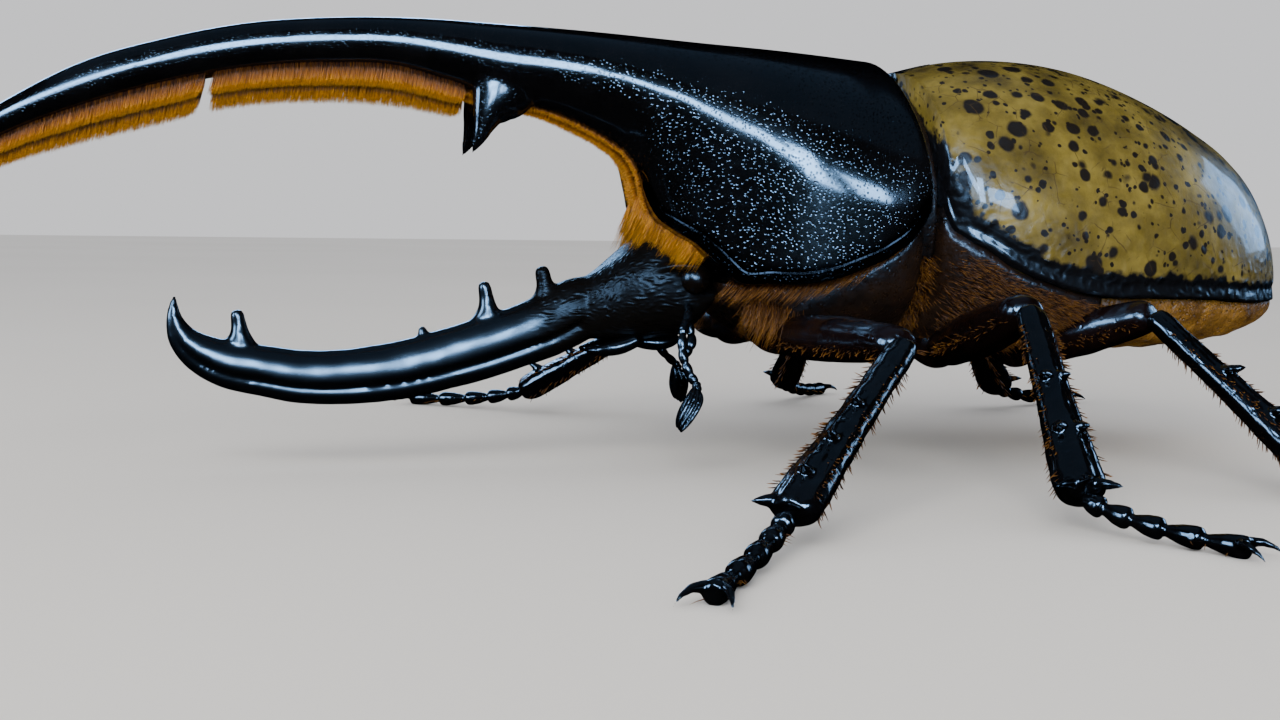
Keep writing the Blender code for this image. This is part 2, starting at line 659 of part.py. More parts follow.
def tarsus(name, ankle, toe):
    """Five joints and two claws, flat where they stand on the floor."""
    ankle, toe = Vector(ankle), Vector(toe)
    bend = ankle.lerp(toe, 0.3)
    bend.z = toe.z + 0.25
    path, sizes = [], []
    for i in range(TARSUS_SEGMENTS):
        for share, size in ((0.0, TARSUS_NECK), (0.6, TARSUS_RADIUS), (0.92, TARSUS_RADIUS)):
            t = (i + share) / TARSUS_SEGMENTS
            near = ankle.lerp(bend, t)
            path.append(near.lerp(bend.lerp(toe, t), t))
            sizes.append(size)
    foot = tube(name, path, sizes, sizes, 8)
    forward = (toe - ankle)
    forward.z = 0
    forward.normalize()
    across = Vector((-forward.y, forward.x, 0))
    claws = []
    for side in (-1, 1):
        root = path[-1] - forward * 1.2
        way = forward + across * side * CLAW_SPREAD
        middle = root + way * CLAW_LENGTH * 0.65 + Vector((0, 0, 0.35))
        end = root + way * CLAW_LENGTH + across * side * 0.4
        end.z = 0.15
        claws.append(tube("claw", (root, middle), (0.65, 0.5), (0.6, 0.5), 6, Vector((0, 0, 1)),
                          0.0, end))
    fuse(foot, claws)
    rest_on_floor(foot)
    return foot


def leg(name):
    """Four nodes of one leg, each cut to the one before it."""
    pair = name.split("_")[0]
    hip, knee, ankle, toe = LEGS[name]
    root = coxa(name + "_coxa", hip)
    thigh = cut(femur(name + "_femur", hip, knee), [coxa("cutter", hip, GAP)])
    shin = cut(tibia(name + "_tibia", pair, knee, ankle), [femur("cutter", hip, knee, GAP)])
    fuse(shin, thorns(pair, knee, ankle))
    foot = cut(tarsus(name + "_tarsus", ankle, toe), [tibia("cutter", pair, knee, ankle, GAP)])
    return [root, thigh, shin, foot]


def leg_cutters(pairs):
    """Grown roots of some legs, for the hollows that they lie in."""
    cutters = []
    for name, (hip, knee, ankle, toe) in LEGS.items():
        if name.split("_")[0] in pairs:
            cutters.append(coxa("cutter", hip, GAP))
            cutters.append(femur("cutter", hip, knee, GAP))
    return cutters


def mouth_cutters():
    cutters = [mentum(GAP)]
    for side in (-1, 1):
        cutters += [eye("cutter", side, GAP), antenna("cutter", side, GAP),
                    palp("cutter", side, GAP), mandible("cutter", side, GAP)]
    return cutters


def material(name, colour, roughness):
    shade = bpy.data.materials.new(name)
    shade.use_nodes = True
    surface = shade.node_tree.nodes["Principled BSDF"]
    surface.inputs["Base Color"].default_value = (*colour, 1)
    surface.inputs["Roughness"].default_value = roughness
    return shade


def finish(pieces, group, shade):
    """Put pieces in the animal's collection, in metres about its centre."""
    for piece in pieces:
        for home in list(piece.users_collection):
            home.objects.unlink(piece)
        group.objects.link(piece)
        piece.data.transform(Matrix.Translation(-BODY_CENTRE))
        piece.data.transform(Matrix.Scale(MM, 4))
        piece.data.materials.clear()
        piece.data.materials.append(shade)
        piece.data.shade_smooth()
        piece.data.set_sharp_from_angle(angle=math.radians(40))


def main():
    for old in list(bpy.data.objects):
        bpy.data.objects.remove(old)
    group = bpy.data.collections.new("hercules_beetle")
    bpy.context.scene.collection.children.link(group)

    shell = [thoracic_horn(), pronotum(), cephalic_horn()]
    shell.append(cut(head(), mouth_cutters()))
    brown = [cut(prosternum(), leg_cutters(("front",))),
             cut(metathorax(), leg_cutters(("middle", "hind"))),
             cut(abdomen(), leg_cutters(("hind",))), pygidium()]
    cases = [cut(elytron("elytron_left", -1), [scutellum(GAP)]),
             cut(elytron("elytron_right", 1), [scutellum(GAP)])]
    shell.append(scutellum())
    eyes = []
    for label, side in (("left", -1), ("right", 1)):
        eyes.append(eye("eye_" + label, side))
        stalk = antenna("antenna_" + label, side)
        club = cut(antenna_club("antenna_club_" + label, side), [antenna("cutter", side, GAP)])
        shell += [stalk, club, palp("maxillary_palp_" + label, side),
                  mandible("mandible_" + label, side)]
    shell.append(mentum())
    for name in LEGS:
        shell += leg(name)

    finish(shell, group, material("black_shell", BLACK, 0.16))
    finish(brown, group, material("brown_underside", BROWN, 0.5))
    finish([mesothorax()], group, material("orange_bristles", ORANGE, 0.7))
    finish(cases, group, material("olive_elytra", OLIVE, 0.3))
    finish(eyes, group, material("amber_eye", AMBER, 0.1))


main()
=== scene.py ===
"""Dressed model of a male hercules beetle, on the frame of its CAD solids.

Shapes are drawn in millimetres, as in the solids, and become metres at the end.
X runs back from the hind edge of the pronotum, -Y is the animal's left, and Z
is the height above the floor.
"""

import random
from math import acos, copysign, cos, degrees, exp, pi, radians, sin, tau

import bmesh
import bpy
import numpy as np
from mathutils import Matrix, Quaternion, Vector, kdtree, noise


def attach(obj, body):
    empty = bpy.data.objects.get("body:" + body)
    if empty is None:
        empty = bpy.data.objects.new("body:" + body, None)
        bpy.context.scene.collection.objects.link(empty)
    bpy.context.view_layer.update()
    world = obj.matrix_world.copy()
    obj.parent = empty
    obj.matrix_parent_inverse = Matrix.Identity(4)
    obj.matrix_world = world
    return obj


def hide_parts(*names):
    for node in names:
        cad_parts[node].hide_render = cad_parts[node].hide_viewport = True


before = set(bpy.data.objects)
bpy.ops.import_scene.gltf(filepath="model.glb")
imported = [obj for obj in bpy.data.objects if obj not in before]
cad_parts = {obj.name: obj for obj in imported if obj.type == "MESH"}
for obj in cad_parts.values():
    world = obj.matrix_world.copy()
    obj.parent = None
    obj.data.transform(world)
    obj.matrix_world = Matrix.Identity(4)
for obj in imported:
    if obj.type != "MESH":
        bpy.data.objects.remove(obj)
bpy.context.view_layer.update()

MM = 0.001
BODY_CENTRE = Vector((-27.7, -2.9, 0.0))
BACK, ACROSS, UP = Vector((1, 0, 0)), Vector((0, 1, 0)), Vector((0, 0, 1))

# Camera, and the lamps' aim in metres and their colour
EYE = Vector((-76.3, -167.6, 26.8))
YAW, DIP, ROLL = radians(15.6), radians(5), radians(0.7)
LENS = 42.19
LAMP_AIM = Vector((0, 0, 0.03))
WINDOW_BLUE = (0.30, 0.57, 1)

# Upper horn and pronotum: lines along the body, as (x, height), (x, half width) and the like
HORN_TIP = Vector((-112, 0, 27.2))
SHELL_TOP = ((-111.6, 28.2), (-108, 31.8), (-98, 38.9), (-90, 43.4), (-82, 46.1), (-73.6, 48.1),
             (-65, 49.1), (-56, 49.48), (-47, 49.3), (-34, 48.8), (-23, 48.1), (-10, 47.4),
             (-1.9, 46.9))
SHELL_LOW = ((-111.6, 26.4), (-108, 28.6), (-98, 35), (-90, 38.4), (-82, 41), (-74, 42.8),
             (-65, 43.7), (-58, 43.6), (-52, 42), (-46, 40.2), (-41, 39.4), (-37.2, 38),
             (-34, 36.4), (-32, 34.8), (-30.8, 32.6), (-30.2, 30.2), (-29.5, 28.3), (-28.2, 26.8),
             (-26.2, 25.2), (-24, 22.9), (-22.5, 21.3), (-19, 21), (-16, 21), (-13, 21.5),
             (-10, 22.6), (-6.4, 24.3), (-3.6, 26.5), (-1.9, 29))
SHELL_WIDTH = ((-111.6, 0.9), (-108, 1.9), (-100, 2.5), (-85, 2.7), (-70, 3), (-60, 3.5),
               (-52, 4.5), (-45, 5.4), (-40, 6.2), (-34, 7.9), (-30, 9.7), (-26, 12), (-22.5, 14),
               (-19, 15.9), (-16, 17.2), (-13, 18.1), (-10, 18.8), (-6.4, 19.3), (-3.6, 19.3),
               (-1.9, 19))
SHELL_ROLL = ((-111.6, 90), (-56, 90), (-46, 86), (-40, 80), (-34, 70), (-31, 66), (-30, 58),
              (-28, 38), (-26, 24), (-22, 12), (-1.9, 12))
SHELL_SLOPE = ((-111.6, 0.94), (-50, 0.94), (-34, 1), (-12, 1), (-6, 1.12), (-1.9, 1.26))
SHELL_WIDEST = ((-111.6, 27.3), (-108, 30.2), (-98, 37), (-90, 40.9), (-82, 43.6), (-74, 45.4),
                (-65, 46.4), (-58, 46.5), (-52, 45.7), (-46, 44.7), (-41, 44.2), (-37, 43.5),
                (-34, 42.6), (-31, 41.2), (-28, 39.4), (-25, 37.4), (-22, 35.4), (-18, 33),
                (-14, 30.8), (-10, 29.5), (-6, 29.3), (-1.9, 31.5))
PRONOTUM_END = -1.9
RIM_START = -30.6
ARCH_START = -50.5
FRINGE_LOW = ((-108, 26.4), (-98, 32), (-90, 34.7), (-82, 36.9), (-76, 38.6), (-65, 39.8),
              (-55, 39.3), (-52, 38.8))
FRINGE_GAP = -77.7
FRINGE_COUNT = 11500
# Rows of tubes are (x, y, z, half width, half height)
LATERAL_TOOTH = ((-45.8, 2.2, 43.8, 5.2, 2.4), (-46.8, 2.9, 41.2, 3.7, 1.9),
                 (-47.9, 3.3, 39.4, 2.1, 1.4), (-48.5, 3.5, 37.9, 1.3, 1),
                 (-49.1, 3.6, 36.3, 0.75, 0.65), (-49.8, 3.5, 34.7, 0.15, 0.15))
WIDEST_SHARE = 0.172

# Wing cases, underside and neck
ELYTRA_START = 0.9
ELYTRA_END = 53.2
ELYTRA_STATIONS = (ELYTRA_START, 2.6, 6.5, 13, 21, 29, 36.5, 42.2, 46.7, 50, 52.3, ELYTRA_END)
ELYTRA_TOP = ((0.9, 45.6), (6, 46.9), (14, 47.6), (22, 46.9), (31, 44.3), (39, 40.8), (44, 38),
              (47.5, 35), (50, 31.2), (51.6, 27.2), (52.8, 22.4), (53.2, 20))
ELYTRA_EDGE = ((0.9, 29.9), (1.4, 28), (2.6, 26.6), (5.2, 25.1), (8.3, 23.2), (12.6, 21.4),
               (19, 20), (27, 19.8), (36, 19.5), (44, 19), (53.2, 19.2))
ELYTRA_WIDTH = ((0.9, 16.6), (2.6, 18.3), (6, 19.6), (12, 20.5), (20, 20.4), (27, 19.6),
                (33, 18.1), (39, 15.8), (44, 13.2), (48, 10.3), (50.8, 7.4), (52.4, 4.6),
                (53.2, 2.4))
SUTURE = 0.15
# Spots of the wing cases: size of their cells in mm, reach of the radius, share left out
SPOTS = ((4.2, 0.20, 0), (2.8, 0.22, 0.1), (1.7, 0.24, 0.35), (0.9, 0.26, 0.6))

BELLY = ((-22.3, 18.2), (-19.5, 16.5), (-17, 14.2), (-10, 13.5), (-2, 13.4), (10, 13), (20, 12.8),
         (32, 12.7), (40, 13.2), (46, 14.3), (49.3, 15.2), (52.9, 17))
BELLY_SHARE = 0.93
KEEL_POWER = 0.8
NECK_RADIUS = 14.6
NECK_HEIGHT = 28.9
ABDOMEN_START = 19.3
ABDOMEN_END = 49
PYGIDIUM_END = 52.9
STERNITES = 6

# Head
HEAD_TOP = ((-37, 20.8), (-35, 22), (-33, 23.6), (-31, 25.2), (-29.4, 26.3), (-28, 26.3),
            (-26, 24), (-24, 21.9), (-22.6, 20.9))
HEAD_LOW = ((-37, 14.2), (-33, 14), (-28, 14.2), (-24.5, 15.2), (-22.6, 17.8))
HEAD_WIDTH = ((-37, 2.6), (-35, 3.9), (-33, 5.5), (-30, 6.8), (-26, 7.4), (-22.6, 6.8))
BROW = ((-29.4, 6.5, 22.3, 0.4, 0.3), (-27.4, 7.2, 22.7, 0.6, 0.4), (-25.2, 7.5, 22.6, 0.8, 0.5),
        (-23.4, 7, 21.6, 0.5, 0.4))
# Lower horn, as (x, height, half height, half width), its grooves as (degrees, depth, spread),
# and its teeth, as tip (x, height), base (x, height) and radius
LOWER_HORN_ROOT = (-31, 0, 19.3, 2.4, 2.6)
LOWER_HORN = ((-34.5, 18.6, 3, 2.6), (-37.3, 17.4, 3.7, 3), (-40.5, 15.7, 3.6, 2.8),
              (-44, 14.4, 3.5, 2.6), (-48, 13.1, 3.5, 2.5), (-52, 12, 3.4, 2.4),
              (-56, 11, 3.3, 2.3), (-60, 10.4, 3.2, 2.3), (-64, 10.1, 3.05, 2.2),
              (-68, 10.2, 2.95, 2.2), (-72, 10.9, 2.8, 2.1), (-75.6, 11.6, 2.6, 2),
              (-78.4, 12.8, 2.2, 1.7), (-80.3, 14.4, 1.6, 1.3), (-81.2, 16.4, 0.95, 0.9),
              (-81.3, 18.2, 0.45, 0.5))
LOWER_HORN_TIP = (-81.1, 0, 19.2, 0.15, 0.15)
LOWER_HORN_GROOVES = ((205, 0.3, 8), (335, 0.3, 8))
LOWER_TEETH = ((-74.9, 17.6, -74.6, 12.8, 1.3), (-55, 15.6, -54.6, 13, 0.9),
               (-48, 20.7, -47.4, 15.4, 1.3), (-41.4, 22.4, -40.6, 17.4, 1.5))
TOOTH_FORM = ((0, 2.1), (0.25, 1.35), (0.45, 0.85), (0.65, 0.64), (0.85, 0.58), (0.96, 0.46),
              (1, 0.15))

EYE_PLACE = (-25.2, 7, 21.2)
EYE_RADIUS = 1.7
ANTENNA = ((-26, 7.2, 18.2), (-26.6, 9.2, 17.3), (-27.6, 10.5, 15.4), (-27.8, 11.3, 13.2),
           (-27.3, 11.9, 11.3), (-26.6, 12.3, 10))
CLUB = ((-26.5, 12.5, 9.5), (-26.9, 12.8, 8.3), (-27.9, 13.2, 6.7), (-28.8, 13.6, 5.2))
ANTENNA_LEAN = {-1: 0, 1: 0.62}
PALP = ((-25.6, 5, 16.8), (-25.2, 6, 14.9), (-25.6, 6.9, 13.5), (-26.7, 7.1, 12.6))
MANDIBLE = ((-30.9, 2.9, 14.2, 1.3, 0.9), (-32.8, 3, 13.4, 1.2, 0.9), (-34.6, 2.5, 13, 1, 0.7),
            (-36.2, 1.6, 12.9, 0.4, 0.3))
MENTUM = ((-30.2, 0, 13.9, 1, 0.4), (-29.6, 0, 13.8, 2, 0.8), (-27.5, 0, 13.7, 2.5, 1),
          (-25.8, 0, 14.1, 2, 0.9), (-25.2, 0, 14.4, 1.1, 0.4))

# Legs: hip, knee, ankle and toe of each
LEGS = {
    "front_left": ((-15.5, -9.6, 15), (-11.7, -33, 15.7), (-30.5, -51, 3), (-43, -68, 0.9)),
    "front_right": ((-15.5, 9.6, 15), (-13.5, 32, 17), (-34, 47, 3), (-49, 59, 0.9)),
    "middle_left": ((4.5, -9.6, 13.2), (3, -31, 19), (-2, -50, 3.2), (6, -63, 0.9)),
    "middle_right": ((4.5, 9.6, 13.2), (6, 31, 19), (8, 51, 3.2), (19, 62, 0.9)),
    "hind_left": ((15, -9.6, 13.2), (22, -24.5, 18), (31, -40.5, 3.2), (45, -50, 0.9)),
    "hind_right": ((15, 9.6, 13.2), (23.5, 25, 18), (38, 38, 3.2), (54, 44, 0.9)),
}
# Limbs swell along their length, as (share, size)
COXA_INNER = 1.6
COXA_FORM = ((0, 0.5), (0.12, 0.94), (0.8, 0.98), (0.95, 0.7), (1, 0.4))
COXA_RADIUS = 3
FEMUR_FORM = ((0, 0.4), (0.03, 0.66), (0.12, 0.86), (0.3, 1), (0.55, 1), (0.8, 0.84), (0.93, 0.76),
              (0.985, 0.56), (1, 0.3))
FEMUR_WIDTH = 3.1
FEMUR_HEIGHT = 2.6
TIBIA_FORM = ((0, 0.4), (0.02, 0.62), (0.1, 0.7), (0.3, 0.72), (0.6, 0.82), (0.85, 1),
              (0.96, 0.98), (1, 0.7))
TIBIA_WIDTH = {"front": 2.4, "middle": 2.4, "hind": 2.6}
TIBIA_HEIGHT = 1.9
TIBIA_GROOVES = ((60, 0.09, 10), (120, 0.09, 10), (200, 0.07, 9), (340, 0.07, 9))
# Thorns of the shins: share of the length, degrees around it, length
REAR_THORNS = ((0.42, 60, 1.3), (0.42, 120, 1.3), (0.7, 60, 1.4), (0.7, 120, 1.4), (0.97, 40, 2.2),
               (0.97, 90, 1.8), (0.97, 140, 2))
THORNS = {
    "front": ((0.45, 100, 1.3), (0.66, 100, 1.5), (0.86, 100, 1.8), (0.97, 20, 1.6)),
    "middle": REAR_THORNS,
    "hind": REAR_THORNS,
}
THORN_RADIUS = 0.6875
TARSUS_SEGMENTS = 5
TARSUS_FORM = ((0, 0.5), (0.12, 0.62), (0.45, 0.92), (0.75, 1.05), (0.9, 1), (0.96, 0.7))
CLAW_LENGTH = 3.6
CLAW_SPREAD = 0.5

# Bristles: (share of the length, girth), and the collar's upper and lower end lines
BRISTLE_FORM = ((0, 0.9), (0.36, 1), (0.7, 0.7))
COLLAR_ROOT = (Vector((-29.8, 0.8, 33.6)), Vector((-25.4, 8.4, 27.6)))
COLLAR_TIP = (Vector((-32.4, 0.7, 25.6)), Vector((-27.2, 8.6, 22.8)))


# Shapes

def on_line(points, x):
    """Value at x on a smooth line through a few (x, value) points."""
    xs = [p[0] for p in points]
    vs = [p[1] for p in points]
    slopes = np.gradient(vs, xs)
    i = min(max(int(np.searchsorted(xs, x)) - 1, 0), len(xs) - 2)
    step = xs[i + 1] - xs[i]
    t = min(max((x - xs[i]) / step, 0), 1)
    start = vs[i] * (2 * t ** 3 - 3 * t ** 2 + 1) + slopes[i] * step * (t ** 3 - 2 * t ** 2 + t)
    end = vs[i + 1] * (3 * t ** 2 - 2 * t ** 3) + slopes[i + 1] * step * (t ** 3 - t ** 2)
    return float(start + end)


def smooth_points(points, per):
    """Rounded path through points of any size, with some steps in each span."""
    rows = np.array(points, float)
    ahead = np.vstack([2 * rows[0] - rows[1], rows, 2 * rows[-1] - rows[-2]])
    made = []
    for i in range(len(rows) - 1):
        a, b, c, d = ahead[i:i + 4]
        for k in range(per):
            t = k / per
            made.append(0.5 * (2 * b + (c - a) * t + (2 * a - 5 * b + 4 * c - d) * t ** 2
                               + (3 * b - a - 3 * c + d) * t ** 3))
    made.append(rows[-1])
    return made


def between(start, end, count):
    return [start + (end - start) * i / (count - 1) for i in range(count)]


def mirrored(rows, side):
    return [(row[0], side * row[1], *row[2:]) for row in rows]


def axes(start, end, up=UP):
    """Directions along, across and above a line."""
    along = (end - start).normalized()
    side = along.cross(up).normalized()
    return along, side, side.cross(along)


def placed(name, data):
    """Object with some data, in the scene."""
    thing = bpy.data.objects.new(name, data)
    bpy.context.scene.collection.objects.link(thing)
    return thing


def made_of(shape):
    """Object made of a finished bmesh."""
    mesh = bpy.data.meshes.new("shape")
    shape.to_mesh(mesh)
    shape.free()
    return placed("shape", mesh)


def loft(rings):
    """Closed surface through rings of points; a ring of one point is a tip."""
    shape = bmesh.new()
    rows = [[shape.verts.new(p) for p in ring] for ring in rings]
    for row, after in zip(rows, rows[1:]):
        count = max(len(row), len(after))
        for i in range(count):
            j = (i + 1) % count
            if len(after) == 1:
                shape.faces.new((row[i], row[j], after[0]))
            elif len(row) == 1:
                shape.faces.new((row[0], after[j], after[i]))
            else:
                shape.faces.new((row[i], row[j], after[j], after[i]))
    for row in (rows[0], rows[-1]):
        if len(row) > 2:
            shape.faces.new(row)
    bmesh.ops.recalc_face_normals(shape, faces=shape.faces)
    return made_of(shape)


def signed_power(value, power):
    return copysign(abs(value) ** power, value)


def dome(x, low, top, half, count, roll=12, slope=1, middle=None):
    """Arched section, flat across its low side, that rolls under below its widest line."""
    roll = radians(roll)
    if middle is None:
        middle = low + (top - low) * WIDEST_SHARE
    ring = []
    for i in range(count):
        angle = -roll + (pi + 2 * roll) * i / (count - 1)
        y = -half * signed_power(cos(angle), slope)
        rise = signed_power(sin(angle), slope)
        reach = top - middle if rise > 0 else (middle - low) / sin(roll) ** slope
        ring.append(Vector((x, y, middle + reach * rise)))
    return ring


def shell_arch(x, count):
    """Section of horn or pronotum from the left edge over the top to the right one."""
    return dome(x, on_line(SHELL_LOW, x), on_line(SHELL_TOP, x), on_line(SHELL_WIDTH, x), count,
                on_line(SHELL_ROLL, x), on_line(SHELL_SLOPE, x), on_line(SHELL_WIDEST, x))


def keel(x, low, top, half, count):
    """Section of the underside, flat across its top."""
    ring = []
    for i in range(count):
        angle = pi * i / (count - 1)
        depth = sin(angle) ** KEEL_POWER
        ring.append((x, -half * cos(angle), top - (top - low) * depth))
    return ring


def oval(x, low, top, half, count, power=1):
    ring = []
    for i in range(count):
        angle = tau * i / count
        y = half * signed_power(cos(angle), power)
        z = (top + low) / 2 + (top - low) / 2 * signed_power(sin(angle), power)
        ring.append((x, y, z))
    return ring


def tube(rows, sides, up=UP, dents=()):
    """Loft along rows of (x, y, z, half width, half height); a dent is (degrees, depth, spread)."""
    path = [Vector(row[:3]) for row in rows]
    rings = []
    for i, row in enumerate(rows):
        along, side, rise = axes(path[max(i - 1, 0)], path[min(i + 1, len(path) - 1)], up)
        ring = []
        for k in range(sides):
            angle = tau * (k + 0.5) / sides
            fit = 1
            for where, depth, reach in dents:
                off = (degrees(angle) - where + 180) % 360 - 180
                fit -= depth * exp(-(off / reach) ** 2)
            ring.append(path[i] + side * row[3] * fit * cos(angle)
                        + rise * row[4] * fit * sin(angle))
        rings.append(ring)
    return loft(rings)


def rod(rows, per, sides, up=UP, dents=()):
    """Tube along a rounded path through a few rows."""
    return tube(smooth_points(rows, per), sides, up, dents)


def spine(root, tip, radius, bow):
    """Thorn that narrows in a curve to a point."""
    rows = []
    for t in (0, 0.25, 0.5, 0.75, 0.93):
        size = radius * (1 - t) ** 0.8
        rows.append((*(root.lerp(tip, t) + bow * 4 * t * (1 - t)), size, size))
    up = BACK if abs((tip - root).normalized().z) > 0.8 else UP
    return tube(rows + [(*tip, radius * 0.08, radius * 0.08)], 14, up)


def limb_rows(start, end, form, width, height):
    """Rows from start to end, swelling as a form of (share, size) says."""
    return [(*start.lerp(end, share), width * size, height * size)
            for share, size in smooth_points(form, 6)]


# Making of pieces

def weld(parts, voxel, rounds):
    """Closed shapes melted into one skin, then smoothed."""
    shape = bmesh.new()
    for part in parts:
        shape.from_mesh(part.data)
        bpy.data.objects.remove(part)
    piece = made_of(shape)
    skin = piece.modifiers.new("skin", "REMESH")
    skin.mode = "VOXEL"
    skin.voxel_size = voxel
    skin.use_smooth_shade = True
    even = piece.modifiers.new("even", "SMOOTH")
    even.factor = 0.5
    even.iterations = rounds
    graph = bpy.context.evaluated_depsgraph_get()
    mesh = bpy.data.meshes.new_from_object(piece.evaluated_get(graph))
    piece.modifiers.clear()
    piece.data = mesh
    return piece


def bumpy(piece, size, depth, seed=0):
    """Push the surface in and out by soft noise, size in millimetres."""
    mesh = piece.data
    mesh.update()
    moved = []
    for vert in mesh.vertices:
        lift = depth * noise.noise(vert.co / size + Vector((seed, 0, 0)))
        moved.append(vert.co + vert.normal * lift)
    for vert, place in zip(mesh.vertices, moved):
        vert.co = place
    return piece


def near(piece, line):
    """Keep each vertex's distance in mm from a line, for the materials."""
    tree = kdtree.KDTree(len(line))
    for i, point in enumerate(line):
        tree.insert(point, i)
    tree.balance()
    far = [tree.find(vert.co)[2] for vert in piece.data.vertices]
    piece.data.attributes.new("rim", "FLOAT", "POINT").data.foreach_set("value", far)


def finish(piece, name, shade, *nodes, slot="shell_black"):
    """Name a piece, take it to metres, tie it to the body, and hide the CAD parts it stands for."""
    piece.name = name
    piece.data.name = name
    piece.data.transform(Matrix.Translation(-BODY_CENTRE))
    piece.data.transform(Matrix.Scale(MM, 4))
    for vert in piece.data.vertices:
        if vert.co.z < 0:
            vert.co.z = 0
    piece.data.materials.clear()
    piece.data.materials.append(shade)
    piece.data.shade_smooth()
    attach(piece, "root")
    if nodes:
        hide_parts(*nodes)


# Materials

def feed(made, inputs):
    """Set or link inputs of a shader node, by number or by name with _ for a space."""
    for key, value in inputs.items():
        socket = made.inputs[key if isinstance(key, int) else key.replace("_", " ")]
        if isinstance(value, bpy.types.NodeSocket):
            made.id_data.links.new(value, socket)
        else:
            socket.default_value = value


def node(beside, kind, settings=None, **inputs):
    """Shader node in the tree of a socket, with its settings and inputs."""
    made = beside.id_data.nodes.new("ShaderNode" + kind)
    for key, value in (settings or {}).items():
        setattr(made, key, value)
    feed(made, inputs)
    return made


def calc(operation, first, second):
    """Result of a math node on two values, at least one of them a socket."""
    beside = first if isinstance(first, bpy.types.NodeSocket) else second
    made = node(beside, "Math", {"operation": operation})
    feed(made, {0: first, 1: second})
    return made.outputs[0]


def plus(first, second):
    return calc("ADD", first, second)


def less(first, second):
    return calc("SUBTRACT", first, second)


def times(first, second):
    return calc("MULTIPLY", first, second)


def most(first, second):
    return calc("MAXIMUM", first, second)


def ramp(value, stops, full=1):
    """Colour ramp over values up to full; a stop is (place, grey) or (place, (r, g, b))."""
    if full != 1:
        value = calc("DIVIDE", value, full)
    made = node(value, "ValToRGB", Fac=value)
    band = made.color_ramp
    while len(band.elements) > 1:
        band.elements.remove(band.elements[-1])
    for i, (place, colour) in enumerate(stops):
        part = band.elements[0] if i == 0 else band.elements.new(place)
        part.position = place
        colour = (colour,) * 3 if isinstance(colour, (int, float)) else colour
        part.color = (*colour, 1)
    return made.outputs[0]


def mix(share, first, second):
    """Blend of two colours, each a socket or (r, g, b)."""
    made = node(share, "Mix", {"data_type": "RGBA"})
    feed(made, {0: share})
    for index, value in ((6, first), (7, second)):
        feed(made, {index: (*value, 1) if isinstance(value, tuple) else value})
    return made.outputs[2]


def start_material(name):
    """Material, its surface node and the place on the object."""
    shade = bpy.data.materials.new(name)
    shade.use_nodes = True
    nodes = shade.node_tree.nodes
    place = nodes.new("ShaderNodeTexCoord").outputs["Object"]
    return shade, nodes["Principled BSDF"], place


def attribute(place, name):
    return node(place, "Attribute", {"attribute_name": name}).outputs["Fac"]


def cells(place, size, feature="F1", random_share=1):
    """Voronoi cells of a size in mm."""
    return node(place, "TexVoronoi", {"feature": feature}, Vector=place, Scale=1 / MM / size,
                Randomness=random_share)


def clouds(place, size, detail=4, rough=0.55):
    """Noise of a size in mm."""
    return node(place, "TexNoise", Vector=place, Scale=1 / MM / size, Detail=detail,
                Roughness=rough).outputs[0]


def folds(place, size, detail):
    """Sharp ridges of a size in mm."""
    return node(place, "TexNoise", {"noise_type": "RIDGED_MULTIFRACTAL"}, Vector=place,
                Scale=1 / MM / size, Detail=detail).outputs[0]


def pits(place, size, width):
    """Height of round pits of many depths, 1 between them and down to 0 in them."""
    cell = cells(place, size)
    hole = ramp(cell.outputs["Distance"],
                ((0, 1), (width * 0.35, 0.85), (width * 0.7, 0.4), (width, 0)))
    share = node(place, "SeparateColor", Color=cell.outputs["Color"]).outputs[0]
    return less(1, times(hole, plus(times(share, 0.7), 0.3)))


def carve(height, depth, below=None):
    """Bump of a depth in mm, on top of another."""
    made = node(height, "Bump", Height=height, Distance=depth * MM, Strength=1)
    if below is not None:
        feed(made, {"Normal": below})
    return made.outputs[0]


def shell_material(name, gloss=0.12, pit_size=0.37, pit_depth=0.045, wrinkle=0, rim=False,
                   tint=(0.0012, 0.0012, 0.0015)):
    """Black shell, pitted low on its sides and smooth above, with a black rim."""
    shade, surface, place = start_material(name)
    x, _, z = node(place, "SeparateXYZ", Vector=place).outputs
    smooth = ramp(less(z, times(plus(x, 0.01), 0.7)), ((0.74, 0), (0.92, 0.9)), 0.05)
    bump = carve(most(pits(place, pit_size, 0.36), smooth), pit_depth)
    bump = carve(clouds(place, 0.3, 3), 0.0025, bump)
    if wrinkle:
        bump = carve(folds(place, 1.6, 4), wrinkle, bump)
    if rim:
        far = attribute(place, "rim")
        groove = ramp(far, ((0, 0.8), (0.2, 1), (0.3, 1), (0.35, 0), (0.4, 1)), 4)
        bump = carve(groove, 0.06, bump)
        # A black metal mirrors next to nothing
        feed(surface, dict(Metallic=ramp(far, ((0.41, 0.9), (0.56, 0)), 4)))
    cover = clouds(place, 6, 3)
    haze = plus(times(clouds(place, 0.9, 5), 0.5), times(cover, 0.5))
    colour = mix(ramp(cover, ((0.4, 0), (0.7, 1))), tint, tuple(c * 1.9 for c in tint))
    feed(surface, dict(Base_Color=colour, Normal=bump, IOR=1.5, Specular_IOR_Level=0.5,
                       Roughness=ramp(haze, ((0.3, gloss * 0.75), (0.75, gloss * 1.6))),
                       Coat_Weight=0.06, Coat_Roughness=0.05))
    return shade


